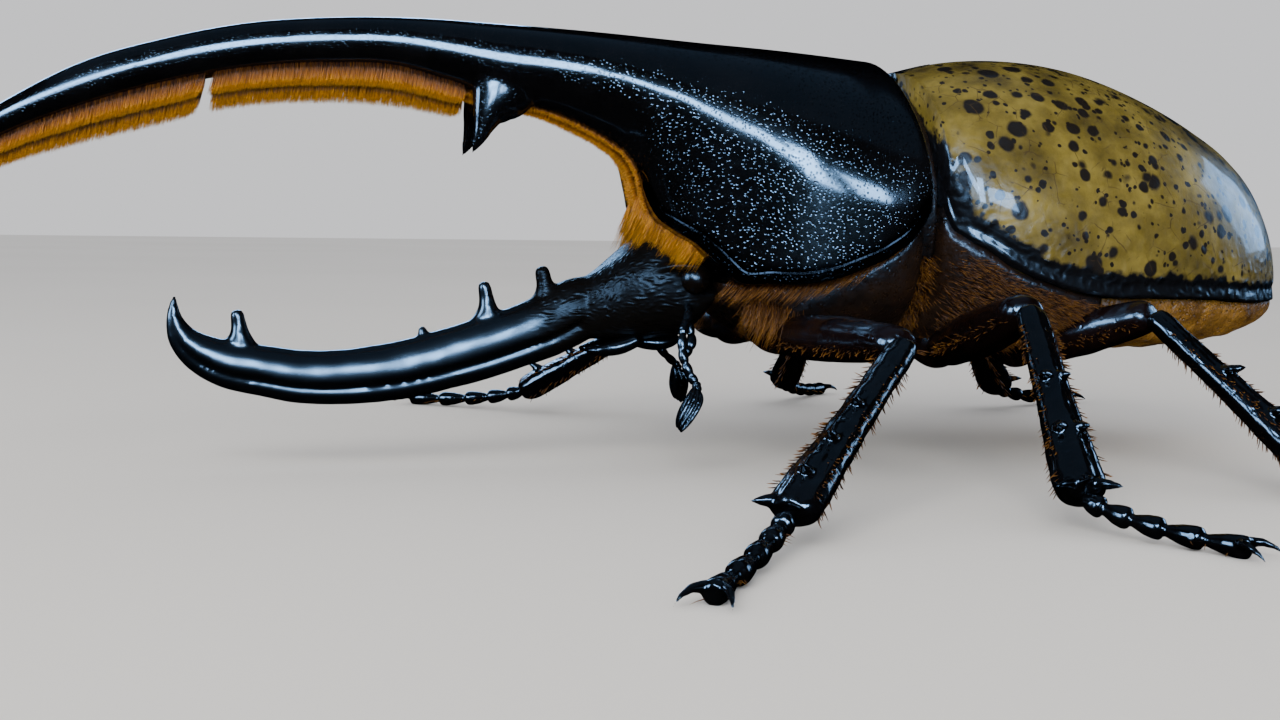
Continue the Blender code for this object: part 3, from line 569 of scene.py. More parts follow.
def head_material():
    """Glossy horn that turns dull and wrinkled towards the head."""
    shade, surface, place = start_material("head")
    ragged = plus(attribute(place, "rim"), times(clouds(place, 3), 5))
    dull = ramp(ragged, ((0.6, 1), (0.85, 0)), 20)
    streaks = node(place, "Mapping", Vector=place, Scale=(0.3, 1, 1), Rotation=(0, 0.6, 0))
    streaks = streaks.outputs[0]
    scratch = clouds(streaks, 1)
    bump = carve(times(folds(streaks, 0.5, 3), dull), 0.16)
    bump = carve(scratch, 0.03, bump)
    bump = carve(pits(place, 0.7, 0.25), 0.02, bump)
    gloss = plus(times(dull, 0.12), ramp(scratch, ((0.3, 0.14), (0.7, 0.26))))
    colour = mix(dull, (0.0012, 0.0014, 0.002), (0.003, 0.0025, 0.002))
    feed(surface, dict(Base_Color=colour, Roughness=gloss, Normal=bump, IOR=1.5,
                       Specular_IOR_Level=0.09, Coat_Roughness=0.24,
                       Coat_Weight=ramp(dull, ((0.1, 1), (0.9, 0)))))
    return shade


def elytra_material():
    """Olive wing cases with black spots, fine cracks and a black wrinkled border."""
    shade, surface, place = start_material("elytra")
    drift = node(place, "TexNoise", Vector=place, Scale=1 / MM / 2.5, Detail=3).outputs["Color"]
    wavy = node(place, "VectorMath", {"operation": "SCALE"}, Vector=drift, Scale=0.9 * MM)
    moved = node(place, "VectorMath", {"operation": "ADD"})
    feed(moved, {0: place, 1: wavy.outputs[0]})
    moved = moved.outputs[0]
    spots = None
    for size, reach, keep in SPOTS:
        cell = cells(moved, size)
        chance = node(place, "SeparateColor", Color=cell.outputs["Color"]).outputs
        radius = plus(times(chance[0], reach), 0.13)
        inside = times(plus(less(radius, cell.outputs["Distance"]), 0.03), 14)
        spot = times(calc("MINIMUM", inside, 1), calc("GREATER_THAN", chance[1], keep))
        spots = spot if spots is None else most(spots, spot)
    edges = cells(moved, 3.1, "DISTANCE_TO_EDGE").outputs["Distance"]
    patchy = ramp(clouds(place, 3, 3), ((0.5, 1), (0.62, 0)))
    lines = most(ramp(edges, ((0, 0), (0.022, 1))), patchy)
    far = attribute(place, "rim")
    ragged = plus(far, times(clouds(place, 1.8), 2.6))
    border = ramp(less(ragged, 3.6), ((0, 1), (0.5, 0)))
    ground = ramp(clouds(place, 7, 6, 0.6), ((0.3, (0.045, 0.034, 0.007)),
                  (0.5, (0.13, 0.1, 0.015)), (0.72, (0.26, 0.205, 0.04))))
    colour = mix(most(spots, 0), ground, (0.012, 0.009, 0.006))
    colour = mix(lines, (0.05, 0.032, 0.01), colour)
    colour = mix(border, colour, (0.004, 0.004, 0.005))
    shoulder = ramp(far, ((0.2, 0.7), (0.9, 0)), 10)
    bump = carve(times(folds(place, 1.3, 3), most(border, shoulder)), 0.4)
    bump = carve(clouds(place, 3, 5), 0.12, bump)
    bump = carve(pits(place, 0.5, 0.3), 0.012, bump)
    feed(surface, dict(Base_Color=colour, Normal=bump, Specular_IOR_Level=0.18,
                       Roughness=ramp(clouds(place, 1.1), ((0.3, 0.28), (0.7, 0.45))),
                       Coat_Weight=0.35, Coat_Roughness=0.07))
    return shade


def plate_material(name, dark, light, rough, depth):
    """Brown plate of the underside, grained and dented."""
    shade, surface, place = start_material(name)
    field = clouds(place, 5, 6, 0.65)
    grain = clouds(place, 0.8, 5)
    bump = carve(pits(place, 0.6, 0.35), depth * 0.5, carve(grain, depth))
    feed(surface, dict(Base_Color=ramp(field, ((0.35, dark), (0.65, light))), Normal=bump,
                       Roughness=ramp(grain, ((0.3, rough * 0.75), (0.7, rough * 1.3))),
                       Specular_IOR_Level=0.25))
    return shade


def bristle_material(name, root, middle, tip, dark=0.12, start=0.45):
    """Bristles that lighten from root to tip, with painted shade darkening some of them at random.
    """
    shade, surface, place = start_material(name)
    colour = ramp(attribute(place, "along"), ((dark, root), (start, middle), (1, tip)))
    # Painted shade: each bristle's own random share darkens it towards a shadow colour
    shadow = tuple(c * 0.35 for c in middle)
    colour = mix(times(attribute(place, "own"), 0.85), colour, shadow)
    feed(surface, dict(Base_Color=colour, Specular_IOR_Level=0.1,
                       Roughness=ramp(clouds(place, 1, 2), ((0.3, 0.35), (0.7, 0.5)))))
    return shade


def eye_material():
    """Dark eye with fine facets."""
    shade, surface, place = start_material("eye")
    facets = cells(place, 0.12, random_share=0.2).outputs["Distance"]
    colour = ramp(clouds(place, 1), ((0.3, (0.002, 0.0015, 0.001)),
                                     (0.7, (0.005, 0.003, 0.002))))
    feed(surface, dict(Base_Color=colour, Normal=carve(facets, -0.01), Roughness=0.2,
                       Specular_IOR_Level=0.3))
    return shade


# Pieces

def under_shell(x, share):
    """Place across and height on the underside of horn or pronotum, at a share of its width."""
    low, half = on_line(SHELL_LOW, x), on_line(SHELL_WIDTH, x)
    roll, slope = radians(on_line(SHELL_ROLL, x)), on_line(SHELL_SLOPE, x)
    if share <= max(cos(roll), 0) ** slope:
        return share * half, low
    angle = acos(share ** (1 / slope))
    widest = on_line(SHELL_WIDEST, x)
    return share * half, widest - (widest - low) * (sin(angle) / sin(roll)) ** slope


def shell():
    """Pronotum, upper horn and its lateral teeth, in one skin."""
    rings = [[HORN_TIP]]
    for x in between(-111.75, PRONOTUM_END, 300):
        arch = shell_arch(x, 110)
        base = [arch[-1].lerp(arch[0], share) for share in between(0.04, 0.96, 24)]
        rings.append(arch + base)
    parts = [loft(rings)]
    rims = []
    for side in (-1, 1):
        parts.append(rod(mirrored(LATERAL_TOOTH, side), 6, 24, ACROSS))
        line = [shell_arch(x, 3)[side + 1] for x in between(RIM_START, PRONOTUM_END, 120)]
        rims += line
        parts.append(tube([(p.x, p.y * 0.99, p.z + 0.25, 0.26, 0.26) for p in line], 10))
    piece = weld(parts, 0.3, 8)
    near(piece, rims)
    finish(piece, "shell", shell_material("shell", rim=True), "pronotum", "thoracic_horn")


def head():
    """Head and lower horn with its teeth, in one skin."""
    rings = [oval(x, on_line(HEAD_LOW, x), on_line(HEAD_TOP, x), on_line(HEAD_WIDTH, x), 60, 0.9)
             for x in between(-37, -22.6, 60)]
    rows = [(x, 0, z, half, high) for x, z, high, half in LOWER_HORN]
    rows = [LOWER_HORN_ROOT] + rows + [LOWER_HORN_TIP]
    parts = [loft(rings), rod(rows, 8, 48, Vector((0.3, 0, 1)), LOWER_HORN_GROOVES)]
    for tip_x, tip_z, base_x, base_z, radius in LOWER_TEETH:
        rows = []
        for share, size in TOOTH_FORM:
            x, z = base_x + (tip_x - base_x) * share, base_z + (tip_z - base_z) * share
            rows.append((x + 0.9 * share * (1 - share), 0, z, radius * size,
                         min(radius * size, 0.3 + 0.7 * radius)))
        parts.append(rod(rows, 5, 24, ACROSS))
    for side in (-1, 1):
        parts.append(rod(mirrored(BROW, side), 5, 14))
    piece = bumpy(weld(parts, 0.26, 5), 2.2, 0.04)
    near(piece, [Vector((x, 0, 22)) for x in between(-33, -24, 10)])
    finish(piece, "head_and_horn", head_material(), "head", "cephalic_horn")


def elytron(name, side, shade):
    """Wing case with a raised, beaded outer edge."""
    rings, edge = [], []
    for (x,) in smooth_points([(x,) for x in ELYTRA_STATIONS], 12):
        x = float(x)
        low, top = on_line(ELYTRA_EDGE, x), on_line(ELYTRA_TOP, x)
        arch = dome(x, low, top, on_line(ELYTRA_WIDTH, x), 201)[100:]
        middle = Vector((x, 0, (low + top) / 2))
        outer = []
        for place in arch[1:]:
            far = (place - arch[-1]).length
            lift = 0.22 * exp(-(far / 0.5) ** 2) - 0.25 * exp(-((far - 1.3) / 0.5) ** 2)
            moved = place + (place - middle).normalized() * min(lift, 0.2)
            outer.append((x, side * moved.y, moved.z))
        edge.append(Vector(outer[-1]))
        rings.append([(x, side * SUTURE, top)] + outer + [(x, side * SUTURE, low)])
    piece = loft(rings)
    seam = []
    for x in between(1, 53, 160):
        fall = (on_line(ELYTRA_TOP, x + 0.1) - on_line(ELYTRA_TOP, x - 0.1)) / 0.2
        out = Vector((-fall, 0, 1)).normalized()
        seam.append(Vector((x, side * SUTURE, on_line(ELYTRA_TOP, x))) + 2 * out)
    front = [Vector((p[0] - 1.4 - 0.3 * max(0, p[2] - 33), *p[1:])) for p in rings[0][:-1:4]]
    near(piece, edge + seam + front)
    finish(piece, name, shade, name, slot="elytra_olive")


def scutellum(shade):
    rings = []
    for x, half in ((ELYTRA_START, 3.4), (3, 2.6), (5.2, 1.2), (6.4, 0.3)):
        top = on_line(ELYTRA_TOP, x) + 0.1
        rings.append([(x, -half, 43.4), (x, half, 43.4), (x, half, top - 0.3), (x, 0, top),
                      (x, -half, top - 0.3)])
    finish(weld([loft(rings)], 0.12, 4), "scutellum_plate", shade, "scutellum")


def belly_rim(x):
    """Height and half width at which the belly meets the pronotum or the wing cases."""
    if x < ELYTRA_START:
        return on_line(SHELL_LOW, x) - 0.3, on_line(SHELL_WIDTH, x) - 2.4
    return on_line(ELYTRA_EDGE, x) - 0.3, BELLY_SHARE * on_line(ELYTRA_WIDTH, x)


def belly_step(x):
    """Depth by which the abdomen steps in where one sternite slides under the next."""
    if not ABDOMEN_START <= x <= ABDOMEN_END:
        return 0
    length = (ABDOMEN_END - ABDOMEN_START) / STERNITES
    share = ((x - ABDOMEN_START) / length) % 1
    return 0.5 * max(0, 1 - share / 0.3) ** 2


def underside(start, end, count):
    """Stretch of the body below the pronotum or the wing cases."""
    rings = []
    for x in between(start, end, count):
        (edge, half), off = belly_rim(x), belly_step(x)
        rings.append(keel(x, on_line(BELLY, x) + off, edge, half - off, 61))
    return loft(rings)


def belly_pieces():
    dark = plate_material("chest_plates", (0.006, 0.004, 0.003), (0.022, 0.011, 0.005), 0.3, 0.1)
    gold = plate_material("belly_plates", (0.07, 0.028, 0.003), (0.36, 0.18, 0.02), 0.34, 0.5)
    brown = "underside_brown"
    finish(underside(-22.3, PRONOTUM_END, 50), "front_chest", dark, "prosternum", slot=brown)
    rings = [oval(x, 14.2, 43.6, NECK_RADIUS, 72) for x in between(-1.6, 0.6, 8)]
    finish(loft(rings), "neck", dark, "mesothorax", slot="bristles_orange")
    chest = bumpy(underside(ELYTRA_START, 19, 60), 6, 0.5)
    finish(chest, "hind_chest", dark, "metathorax", slot=brown)
    belly = bumpy(underside(ABDOMEN_START, ABDOMEN_END, 150), 2.4, 0.3)
    finish(belly, "belly", gold, "abdomen", slot=brown)
    tail = bumpy(underside(49.3, PYGIDIUM_END, 20), 2.4, 0.2)
    finish(tail, "tail_plate", gold, "pygidium", slot=brown)


def eyes():
    shade = eye_material()
    for label, side in (("left", -1), ("right", 1)):
        x, y, z = EYE_PLACE
        bpy.ops.mesh.primitive_uv_sphere_add(segments=48, ring_count=32, radius=EYE_RADIUS,
                                             location=(x, side * y, z))
        ball = bpy.context.object
        ball.data.transform(ball.matrix_world)
        ball.matrix_world = Matrix.Identity(4)
        finish(ball, "eye_ball_" + label, shade, "eye_" + label, slot="eye_brown")


def leaning(rows, side):
    """Rows of one antenna, swung back about its root."""
    root = ANTENNA[0][2]
    return [(row[0] + ANTENNA_LEAN[side] * (root - row[2]), side * row[1], *row[2:])
            for row in rows]


def beads(points, size, count, depth):
    """Rows of a tube that narrows between some beads."""
    path = smooth_points(points, 12)
    rows = []
    for i, place in enumerate(path):
        swell = abs(sin(pi * count * (i + 0.5) / len(path))) ** 0.6
        girth = size * (1 - depth + depth * swell)
        rows.append((*place, girth, girth))
    return rows


def mouth_and_feelers(shade):
    for label, side in (("left", -1), ("right", 1)):
        rows = leaning(beads(ANTENNA + CLUB[:2], 0.55, 10, 0.3), side)
        finish(tube(rows, 16, Vector((1, 0, 0.2))), "feeler_" + label, shade, "antenna_" + label)
        leaves = []
        for i in (-1, 0, 1):
            rows = []
            for k, (x, y, z) in enumerate(smooth_points(CLUB, 4)):
                girth = sin(pi * (0.04 + 0.92 * k / 12)) ** 0.55
                rows.append((x + 0.6 * i * girth, y, z - 0.25 * i, 1.25 * girth, 0.38 * girth))
            leaves.append(tube(leaning(rows, side), 20, BACK))
        finish(weld(leaves, 0.09, 1), "feeler_club_" + label, shade, "antenna_club_" + label)
        rows = beads(mirrored(PALP, side), 0.6, 3, 0.4)
        finish(tube(rows, 14, BACK), "palp_" + label, shade, "maxillary_palp_" + label)
        jaw = rod(mirrored(MANDIBLE, side), 6, 20)
        finish(jaw, "jaw_" + label, shade, "mandible_" + label)
    finish(rod(MENTUM, 6, 28), "lip_plate", shade, "mentum")


def thorns(pair, knee, ankle):
    """Spines on the outer face of a shin, leaning towards the foot."""
    along, side, rise = axes(knee, ankle)
    spines = []
    for share, where, length in THORNS[pair]:
        angle = radians(where)
        out = side * cos(angle) + rise * sin(angle)
        skin = Vector((cos(angle) * TIBIA_WIDTH[pair], sin(angle) * TIBIA_HEIGHT))
        skin *= on_line(TIBIA_FORM, share)
        root = knee.lerp(ankle, share) + out * (skin.length - 0.5)
        spines.append(spine(root, root + out * (length + 0.4) + along * length * 0.85,
                            THORN_RADIUS, out * 0.2))
    return spines


def foot(ankle, toe):
    """Five joints and two claws."""
    bend = ankle.lerp(toe, 0.3)
    bend.z = toe.z + 0.25
    rows = []
    for i in range(TARSUS_SEGMENTS):
        for share, size in TARSUS_FORM:
            t = (i + share) / TARSUS_SEGMENTS
            place = ankle.lerp(bend, t).lerp(bend.lerp(toe, t), t)
            rows.append((*place, size, size))
    parts = [tube(rows, 24)]
    forward = toe - ankle
    forward.z = 0
    forward.normalize()
    across = Vector((-forward.y, forward.x, 0))
    start = Vector(rows[-1][:3]) - forward * 1.35
    for side in (-1, 1):
        way = forward + across * side * CLAW_SPREAD
        end = start + way * CLAW_LENGTH + across * side * 0.4
        end.z = 0.2
        parts.append(spine(start, end, 0.62, Vector((0, 0, 0.75)) + across * side * 0.35))
    return parts


def legs(shade, thigh_shade):
    for seed, (name, places) in enumerate(LEGS.items()):
        pair = name.split("_")[0]
        hip, knee, ankle, toe = [Vector(place) for place in places]
        side = copysign(1, hip.y)
        rows = limb_rows(Vector((hip.x + 0.4, side * COXA_INNER, hip.z + 1.5)),
                         hip - Vector((0, side * 0.4, 0)), COXA_FORM, COXA_RADIUS,
                         COXA_RADIUS * 0.9)
        piece = bumpy(tube(rows, 40), 2.5, 0.12, seed)
        finish(piece, name + "_hip", thigh_shade, name + "_coxa")
        rows = limb_rows(hip.lerp(knee, -0.06), knee, FEMUR_FORM, FEMUR_WIDTH, FEMUR_HEIGHT)
        piece = weld([tube(rows, 48, dents=((270, 0.1, 22),))], 0.24, 3)
        finish(bumpy(piece, 3, 0.14, seed), name + "_thigh", thigh_shade, name + "_femur")
        rows = limb_rows(knee, ankle, TIBIA_FORM, TIBIA_WIDTH[pair], TIBIA_HEIGHT)
        shin = tube(rows, 48, dents=TIBIA_GROOVES)
        piece = weld([shin] + thorns(pair, knee, ankle), 0.2, 3)
        finish(bumpy(piece, 1.6, 0.1, seed), name + "_shin", shade, name + "_tibia")
        finish(weld(foot(ankle, toe), 0.15, 2), name + "_foot", shade, name + "_tarsus")


# Bristles

def coat(name, strands, radius, shade):
    """Thin tapered bristles as one mesh; a strand is (root, tip, bow, patch on the skin)."""
    strands = list(strands)
    count = len(strands)
    draw = np.random.default_rng(count)
    roots, tips, bows, spots = [np.array(part, float) for part in zip(*strands)]
    way = tips - roots
    way /= np.linalg.norm(way, axis=1)[:, None]
    helper = np.where(np.abs(way[:, 2:]) > 0.9, (1, 0, 0), (0, 0, 1))
    first = np.cross(way, helper)
    first /= np.linalg.norm(first, axis=1)[:, None]
    second = np.cross(way, first)
    turn = draw.uniform(0, tau, count)
    verts = np.zeros((count, 10, 3))
    uvs = np.zeros((count, 10, 2))
    for i, (share, girth) in enumerate(BRISTLE_FORM):
        centre = roots + (tips - roots) * share + bows * 4 * share * (1 - share)
        for k in range(3):
            angle = turn + tau * k / 3
            ring = first * np.cos(angle)[:, None] + second * np.sin(angle)[:, None]
            verts[:, 3 * i + k] = centre + ring * radius * girth
            uvs[:, 3 * i + k] = spots + (0.003 * (k / 2 - 0.5), 0.003 * (share - 0.5))
    verts[:, 9] = tips
    uvs[:, 9] = spots + (0, 0.0015)
    faces = [(0, 2, 1)]
    for i in (0, 3):
        for k in range(3):
            after = (k + 1) % 3
            faces.append((i + k, i + after, i + 3 + after, i + 3 + k))
    for k in range(3):
        faces.append((6 + k, 6 + (k + 1) % 3, 9))
    every = [tuple(10 * n + v for v in face) for n in range(count) for face in faces]
    mesh = bpy.data.meshes.new(name)
    mesh.from_pydata(verts.reshape(-1, 3).tolist(), [], every)
    corners = np.zeros(len(mesh.loops), int)
    mesh.loops.foreach_get("vertex_index", corners)
    layer = mesh.uv_layers.new(name="OFBake")
    layer.data.foreach_set("uv", uvs.reshape(-1, 2)[corners].ravel())
    shares = [share for share, girth in BRISTLE_FORM for k in range(3)] + [1]
    # Each bristle's own random amount of painted shade, read by the bristle materials
    own = np.repeat(draw.uniform(0, 1, count) ** 2, 10)
    for label, values in (("along", np.tile(shares, count)), ("own", own)):
        mesh.attributes.new(label, "FLOAT", "POINT").data.foreach_set("value", values)
    finish(placed(name, mesh), name, shade, slot="bristles_orange")


def stray(draw, amount):
    return Vector((draw.gauss(0, amount), draw.gauss(0, amount), draw.gauss(0, amount)))


def patch(x, across, start=-60):
    """Place on the body's skin, as two shares."""
    return (x - start) / 115, 0.5 + across


def horn_fringe(seed, nearest, farthest, shortest, longest):
    """Row of bristles under the upper horn, with one small gap."""
    draw = random.Random(seed)
    made = 0
    while made < FRINGE_COUNT:
        x = draw.uniform(-109.5, ARCH_START)
        side = draw.choice((-1, 1))
        share = draw.uniform(nearest, farthest)
        y, z = under_shell(x, share)
        full = on_line(SHELL_LOW, x) - on_line(FRINGE_LOW, x)
        length = draw.uniform(shortest, longest) * full
        if FRINGE_GAP < x < FRINGE_GAP + 1:
            continue
        bunch = 0.1 * sin(x * 2.3 + 2 * side) + 0.06 * sin(x * 5.1)
        root = Vector((x, side * y, z + 0.3))
        tip = Vector((x - 0.5 + bunch + draw.gauss(0, 0.16), side * (y + 0.1),
                      on_line(SHELL_LOW, x) - length + draw.gauss(0, 0.05)))
        if FRINGE_GAP - 2.3 < x < FRINGE_GAP + 0.7:
            tip.x -= 0.9 * (1 + (x - FRINGE_GAP) / 2.3) * length / full
        made += 1
        bow = stray(draw, 0.05) + Vector((0.12, side * 0.1, 0))
        yield root, tip, bow, patch(x, side * 0.3 * share, -112)


def arch_fringe():
    """Bristles inside the arch between the upper horn and the pronotum's front."""
    draw = random.Random(4)
    line = [np.array((x, on_line(SHELL_LOW, x))) for x in
            between(ARCH_START, -37.6, 30) + between(-37.2, -32.2, 20) + between(-32, -29.6, 30)]
    runs = np.cumsum([0] + [np.linalg.norm(b - a) for a, b in zip(line, line[1:])])
    for _ in range(9000):
        reach = draw.random() * runs[-1]
        k = min(max(int(np.searchsorted(runs, reach)) - 1, 0), len(line) - 2)
        ahead = line[k + 1] - line[k]
        x, z = line[k] + ahead * draw.random()
        ahead /= np.linalg.norm(ahead)
        side = draw.choice((-1, 1))
        row = draw.random() < 0.5
        share = draw.uniform(0.22, 0.36) if row else draw.uniform(0, 0.12)
        y, z = under_shell(x, share)
        root = Vector((x, side * y, z)) + 0.3 * Vector((-ahead[1], 0, ahead[0]))
        fade = min(1, 0.55 + 0.45 * abs(x + 44) / 6)
        length = (draw.uniform(0.35, 0.45) if row else draw.uniform(0.7, 0.9)) * fade + 0.3
        way = Vector((ahead[1] - 0.2, side * 0.05, -ahead[0] - 0.1)).normalized()
        tip = root + way * length + stray(draw, 0.06)
        yield root, tip, stray(draw, 0.04), patch(x, side * 0.3 * share, -112)


def collar():
    """Curtain that hangs from inside the pronotum's front rim on to the head."""
    draw = random.Random(5)
    for _ in range(12000):
        share = draw.random()
        side = draw.choice((-1, 1))
        depth = draw.random()
        root = COLLAR_ROOT[0].lerp(COLLAR_ROOT[1], share)
        tip = COLLAR_TIP[0].lerp(COLLAR_TIP[1], share)
        bunch = sin(share * 31 + 1.5 * sin(share * 12))
        root += Vector((1.6 * depth, 0, -0.5 * depth)) + stray(draw, 0.1)
        tip += Vector((2 * depth, 0, 1.2 * depth * draw.random())) + stray(draw, 0.15)
        tip += Vector((-0.25, 0.3, 0.12)) * bunch
        tip = root.lerp(tip, draw.uniform(0.72, 1.02) if draw.random() < 0.9 else 1.2)
        root.y *= side
        tip.y *= side
        bow = Vector((0.55, side * 0.3, 0)) + stray(draw, 0.12)
        yield root, tip, bow, (0.62 + 0.2 * share, 0.5 + side * 0.3 * depth)


def hip_curtain():
    """Bristles beside the root of each front leg, and a comb along the pronotum's rim."""
    draw = random.Random(6)
    for _ in range(1100):
        side = draw.choice((-1, 1))
        share = draw.random()
        x = -20.4 + 6.6 * share
        y = side * draw.uniform(9.2, 13)
        root = Vector((x, y, 20))
        length = draw.uniform(2.6, 6.6) * (1 - 0.35 * abs(2 * share - 0.9) ** 1.5)
        tip = root + Vector((-0.32, side * 0.3, -1)) * length + stray(draw, 0.6)
        yield root, tip, Vector((0.4, side * 0.6, 0)) + stray(draw, 0.2), patch(x, y / 60)
    for _ in range(1500):
        side = draw.choice((-1, 1))
        x = draw.uniform(-22.5, -2.4)
        y = side * (on_line(SHELL_WIDTH, x) - draw.uniform(1.6, 3.2))
        root = Vector((x, y, on_line(SHELL_LOW, x) + 0.2))
        length = draw.uniform(0.8, 3.4 if x < -8 else 2.2)
        tip = root + Vector((-0.75, side * 0.2, -0.8)) * length + stray(draw, 0.15)
        yield root, tip, Vector((0.25, side * 0.15, 0.1)) * length * 0.5, patch(x, y / 60)


def neck_ruff():
    """Ruff in the gap between the pronotum and the wing cases, longest low down."""
    draw = random.Random(7)
    for _ in range(1200):
        angle = draw.uniform(-0.36, -0.1) * pi
        if draw.random() < 0.5:
            angle = pi - angle
        y, rise = NECK_RADIUS * cos(angle), 14.7 * sin(angle)
        z = NECK_HEIGHT + rise
        root = Vector((draw.uniform(-1.7, 0.7), y * 0.98, z))
        out = Vector((0, y, z - NECK_HEIGHT)).normalized()
        low = min(max((31 - z) / 8, 0), 1)
        length = draw.uniform(0.5, 0.9) + 1.6 * low * draw.random()
        tip = root + out * length + Vector((draw.uniform(-1.7, 1.7), 0, -0.5)) + stray(draw, 0.2)
        yield root, tip, stray(draw, 0.15), (0.9, 0.5 + angle / 10)


def chest_hair():
    """Short hair lying back over the chest."""
    draw = random.Random(8)
    for i in range(12000):
        x = draw.uniform(ELYTRA_START + 0.2, 21)
        side = -1 if i % 2 else 1
        angle = draw.uniform(0.02, 0.48) * pi
        low, (top, half) = on_line(BELLY, x), belly_rim(x)
        depth = sin(angle) ** KEEL_POWER
        root = Vector((x, side * half * cos(angle), top - (top - low) * depth))
        out = Vector((0, side * cos(angle), -sin(angle)))
        length = draw.uniform(0.9, 1.9)
        tip = root + Vector((0.75, 0, -0.25)) * length + out * 0.35 * length + stray(draw, 0.25)
        yield root - out * 0.2, tip, out * 0.15, patch(x, side * 0.2 * cos(angle))


def leg_bristles():
    """Rows of short stiff bristles on the thighs, shins and feet."""
    draw = random.Random(9)
    for name, places in LEGS.items():
        pair = name.split("_")[0]
        hip, knee, ankle, toe = [Vector(place) for place in places]
        for start, end, form, width, height, rows, count, length in (
                (hip, knee, FEMUR_FORM, FEMUR_WIDTH, FEMUR_HEIGHT, (200, 340), 150, 1.5),
                (knee, ankle, TIBIA_FORM, TIBIA_WIDTH[pair], TIBIA_HEIGHT, (35, 145, 230, 310),
                 260, 0.95)):
            along, side, rise = axes(start, end)
            for i in range(count):
                share = draw.uniform(0.12, 0.95)
                angle = radians(rows[i % len(rows)] + draw.gauss(0, 6))
                out = side * cos(angle) * width + rise * sin(angle) * height
                root = start.lerp(end, share) + out * on_line(form, share) * 0.97
                way = out.normalized() * 0.75 + along * 0.7 + stray(draw, 0.12)
                tip = root + way * length * draw.uniform(0.6, 1.2)
                tip.z = max(tip.z, 0.1)
                yield root, tip, along * 0.05, (0.02 + 0.9 * share, angle / 8)
        forward = (toe - ankle).normalized()
        for _ in range(60):
            share = draw.uniform(0.15, 0.95)
            root = ankle.lerp(toe, share)
            root.z = max(root.z - 0.6, 0.5)
            tip = root + forward * 0.5 + Vector((draw.gauss(0, 0.8), draw.gauss(0, 0.8), -0.4))
            tip.z = max(tip.z, 0.1)
            yield root, tip, Vector((0, 0, 0.1)), (0.02 + 0.9 * share, 0.5)


def bristles():
    light = (1, 0.5, 0.03)
    golden = bristle_material("golden_bristles", (0.015, 0.004, 0.001), (0.5, 0.19, 0.004), light)
    outer = bristle_material("outer_bristles", (0.012, 0.003, 0.001), (0.5, 0.18, 0.004), light,
                             0.24, 0.58)
    # The inner row stays dark up to where it comes out below the outer row: painted shade of the
    # outer row
    inner = bristle_material("inner_bristles", (0.015, 0.004, 0.001), (0.6, 0.26, 0.006), light,
                             0.55, 0.76)
    brown = bristle_material("brown_bristles", (0.01, 0.003, 0.001), (0.12, 0.045, 0.004),
                             (0.38, 0.17, 0.02))
    for i in (1, 2):
        coat("fringe_outer_" + str(i), horn_fringe(i, 0.36, 0.6, 0.48, 0.56), 0.032, outer)
    coat("fringe_inner", horn_fringe(5, 0.02, 0.28, 0.9, 1), 0.038, inner)
    coat("arch_fringe", arch_fringe(), 0.038, outer)
    coat("collar", collar(), 0.04, golden)
    coat("hip_curtain", hip_curtain(), 0.036, brown)
    coat("neck_ruff", neck_ruff(), 0.045, brown)
    coat("chest_hair", chest_hair(), 0.035, brown)
    coat("leg_bristles", leg_bristles(), 0.06, brown)


# Floor, light and camera

def floor():
    bpy.ops.mesh.primitive_grid_add(x_subdivisions=8, y_subdivisions=8, size=6)
    ground = bpy.context.object
    ground.name = "floor"
    shade, surface, place = start_material("floor")
    field = node(place, "TexNoise", Vector=place, Scale=3, Detail=3).outputs[0]
    colour = ramp(field, ((0.3, (0.7, 0.69, 0.67)), (0.7, (0.74, 0.73, 0.71))))
    feed(surface, dict(Base_Color=colour, Roughness=0.9, Specular_IOR_Level=0))
    ground.data.materials.append(shade)
    ground.visible_glossy = False


def lamp(name, place, size, power, colour=WINDOW_BLUE, turn=0, fill=False):
    """Lamp that fills the scene, or a window that only the shell mirrors."""
    light = bpy.data.lights.new(name, "AREA")
    light.shape = "RECTANGLE"
    light.size, light.size_y = size
    light.energy = power
    light.color = colour
    thing = placed(name, light)
    thing.location = Vector(place)
    facing = (LAMP_AIM - Vector(place)).to_track_quat("-Z", "Y")
    thing.rotation_euler = (facing @ Quaternion((0, 0, 1), turn)).to_euler()
    thing.visible_glossy = not fill
    thing.visible_diffuse = fill


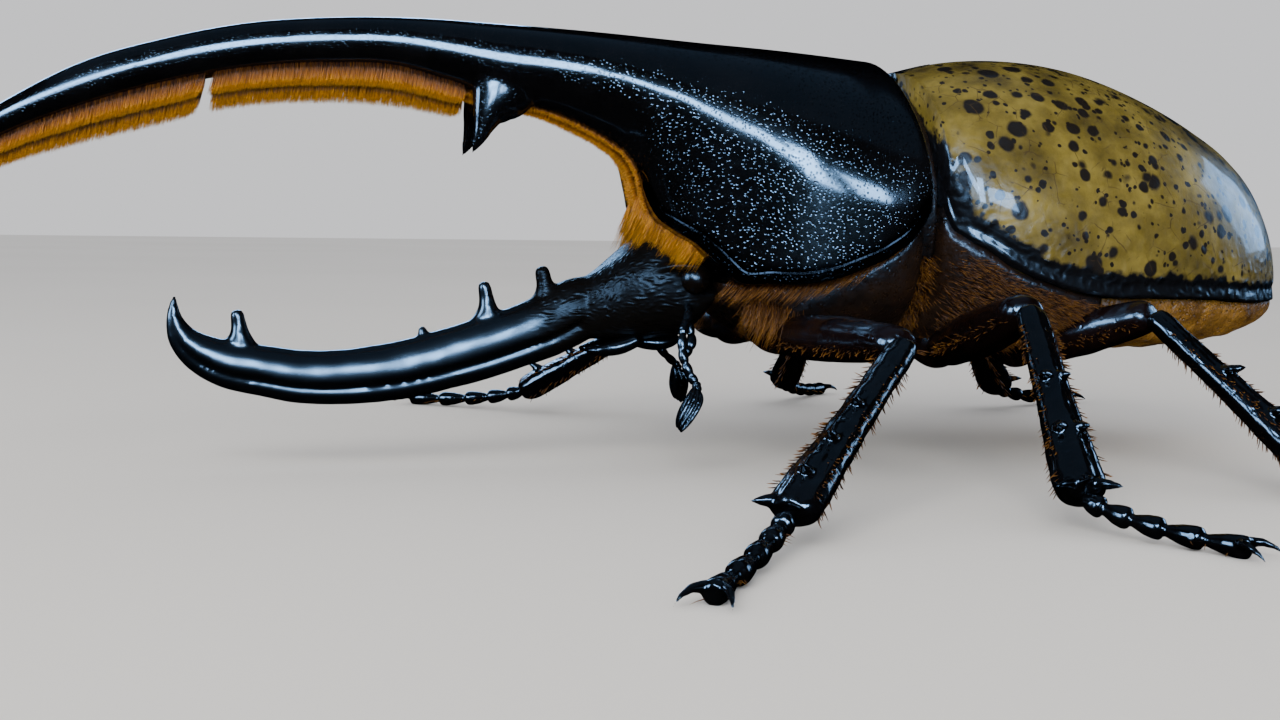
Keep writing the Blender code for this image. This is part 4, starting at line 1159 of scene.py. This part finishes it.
def lights():
    """Pale room that the shell does not mirror, and windows that it does."""
    world = bpy.data.worlds.new("studio")
    bpy.context.scene.world = world
    world.use_nodes = True
    feed(world.node_tree.nodes["Background"], dict(Color=(0.8, 0.8, 0.82, 1), Strength=1.1))
    world.cycles_visibility.glossy = False
    lamp("key", (-0.25, -0.45, 0.3), (0.4, 0.4), 3.2, (1, 0.96, 0.9), fill=True)
    lamp("arch_window", (-0.22, -0.378, 0.228), (0.3, 0.07), 4.8, turn=-0.56)
    lamp("horn_window", (-0.068, -0.46, 0.166), (0.11, 0.16), 4)
    lamp("shoulder_window", (0.091, -0.52, 0.162), (0.11, 0.1), 2)
    lamp("side_window", (-0.62, -0.12, 0.24), (0.3, 0.3), 9)
    lamp("back_window", (-0.1, 0.5, 0.22), (0.4, 0.1), 1.5)
    lamp("far_window", (0.55, 0.1, 0.16), (0.2, 0.2), 1)
    lamp("soft_top", (0, 0, 0.6), (0.8, 0.8), 0.4)


def camera():
    ahead = Vector((sin(YAW) * cos(DIP), cos(YAW) * cos(DIP), -sin(DIP)))
    right = Vector((cos(YAW), -sin(YAW), 0))
    up = right.cross(ahead)
    across = cos(ROLL) * right + sin(ROLL) * up
    above = -sin(ROLL) * right + cos(ROLL) * up
    data = bpy.data.cameras.new("camera")
    data.sensor_width = 36
    data.lens = LENS
    data.clip_start = 0.005
    pose = Matrix((across, above, -ahead)).transposed().to_4x4()
    pose.translation = (EYE - BODY_CENTRE) * MM
    thing = placed("camera", data)
    thing.matrix_world = pose
    bpy.context.scene.camera = thing


camera()
floor()
lights()
shell()
head()
wing_cases = elytra_material()
elytron("elytron_left", -1, wing_cases)
elytron("elytron_right", 1, wing_cases)
plates = shell_material("plates", 0.18, 0.6, 0.05)
scutellum(plates)
belly_pieces()
eyes()
mouth_and_feelers(plates)
legs(shell_material("legs", 0.13, 0.9, 0.05, 0.035),
     shell_material("thighs", 0.18, 0.8, 0.05, 0.03, tint=(0.004, 0.0015, 0.001)))
bristles()
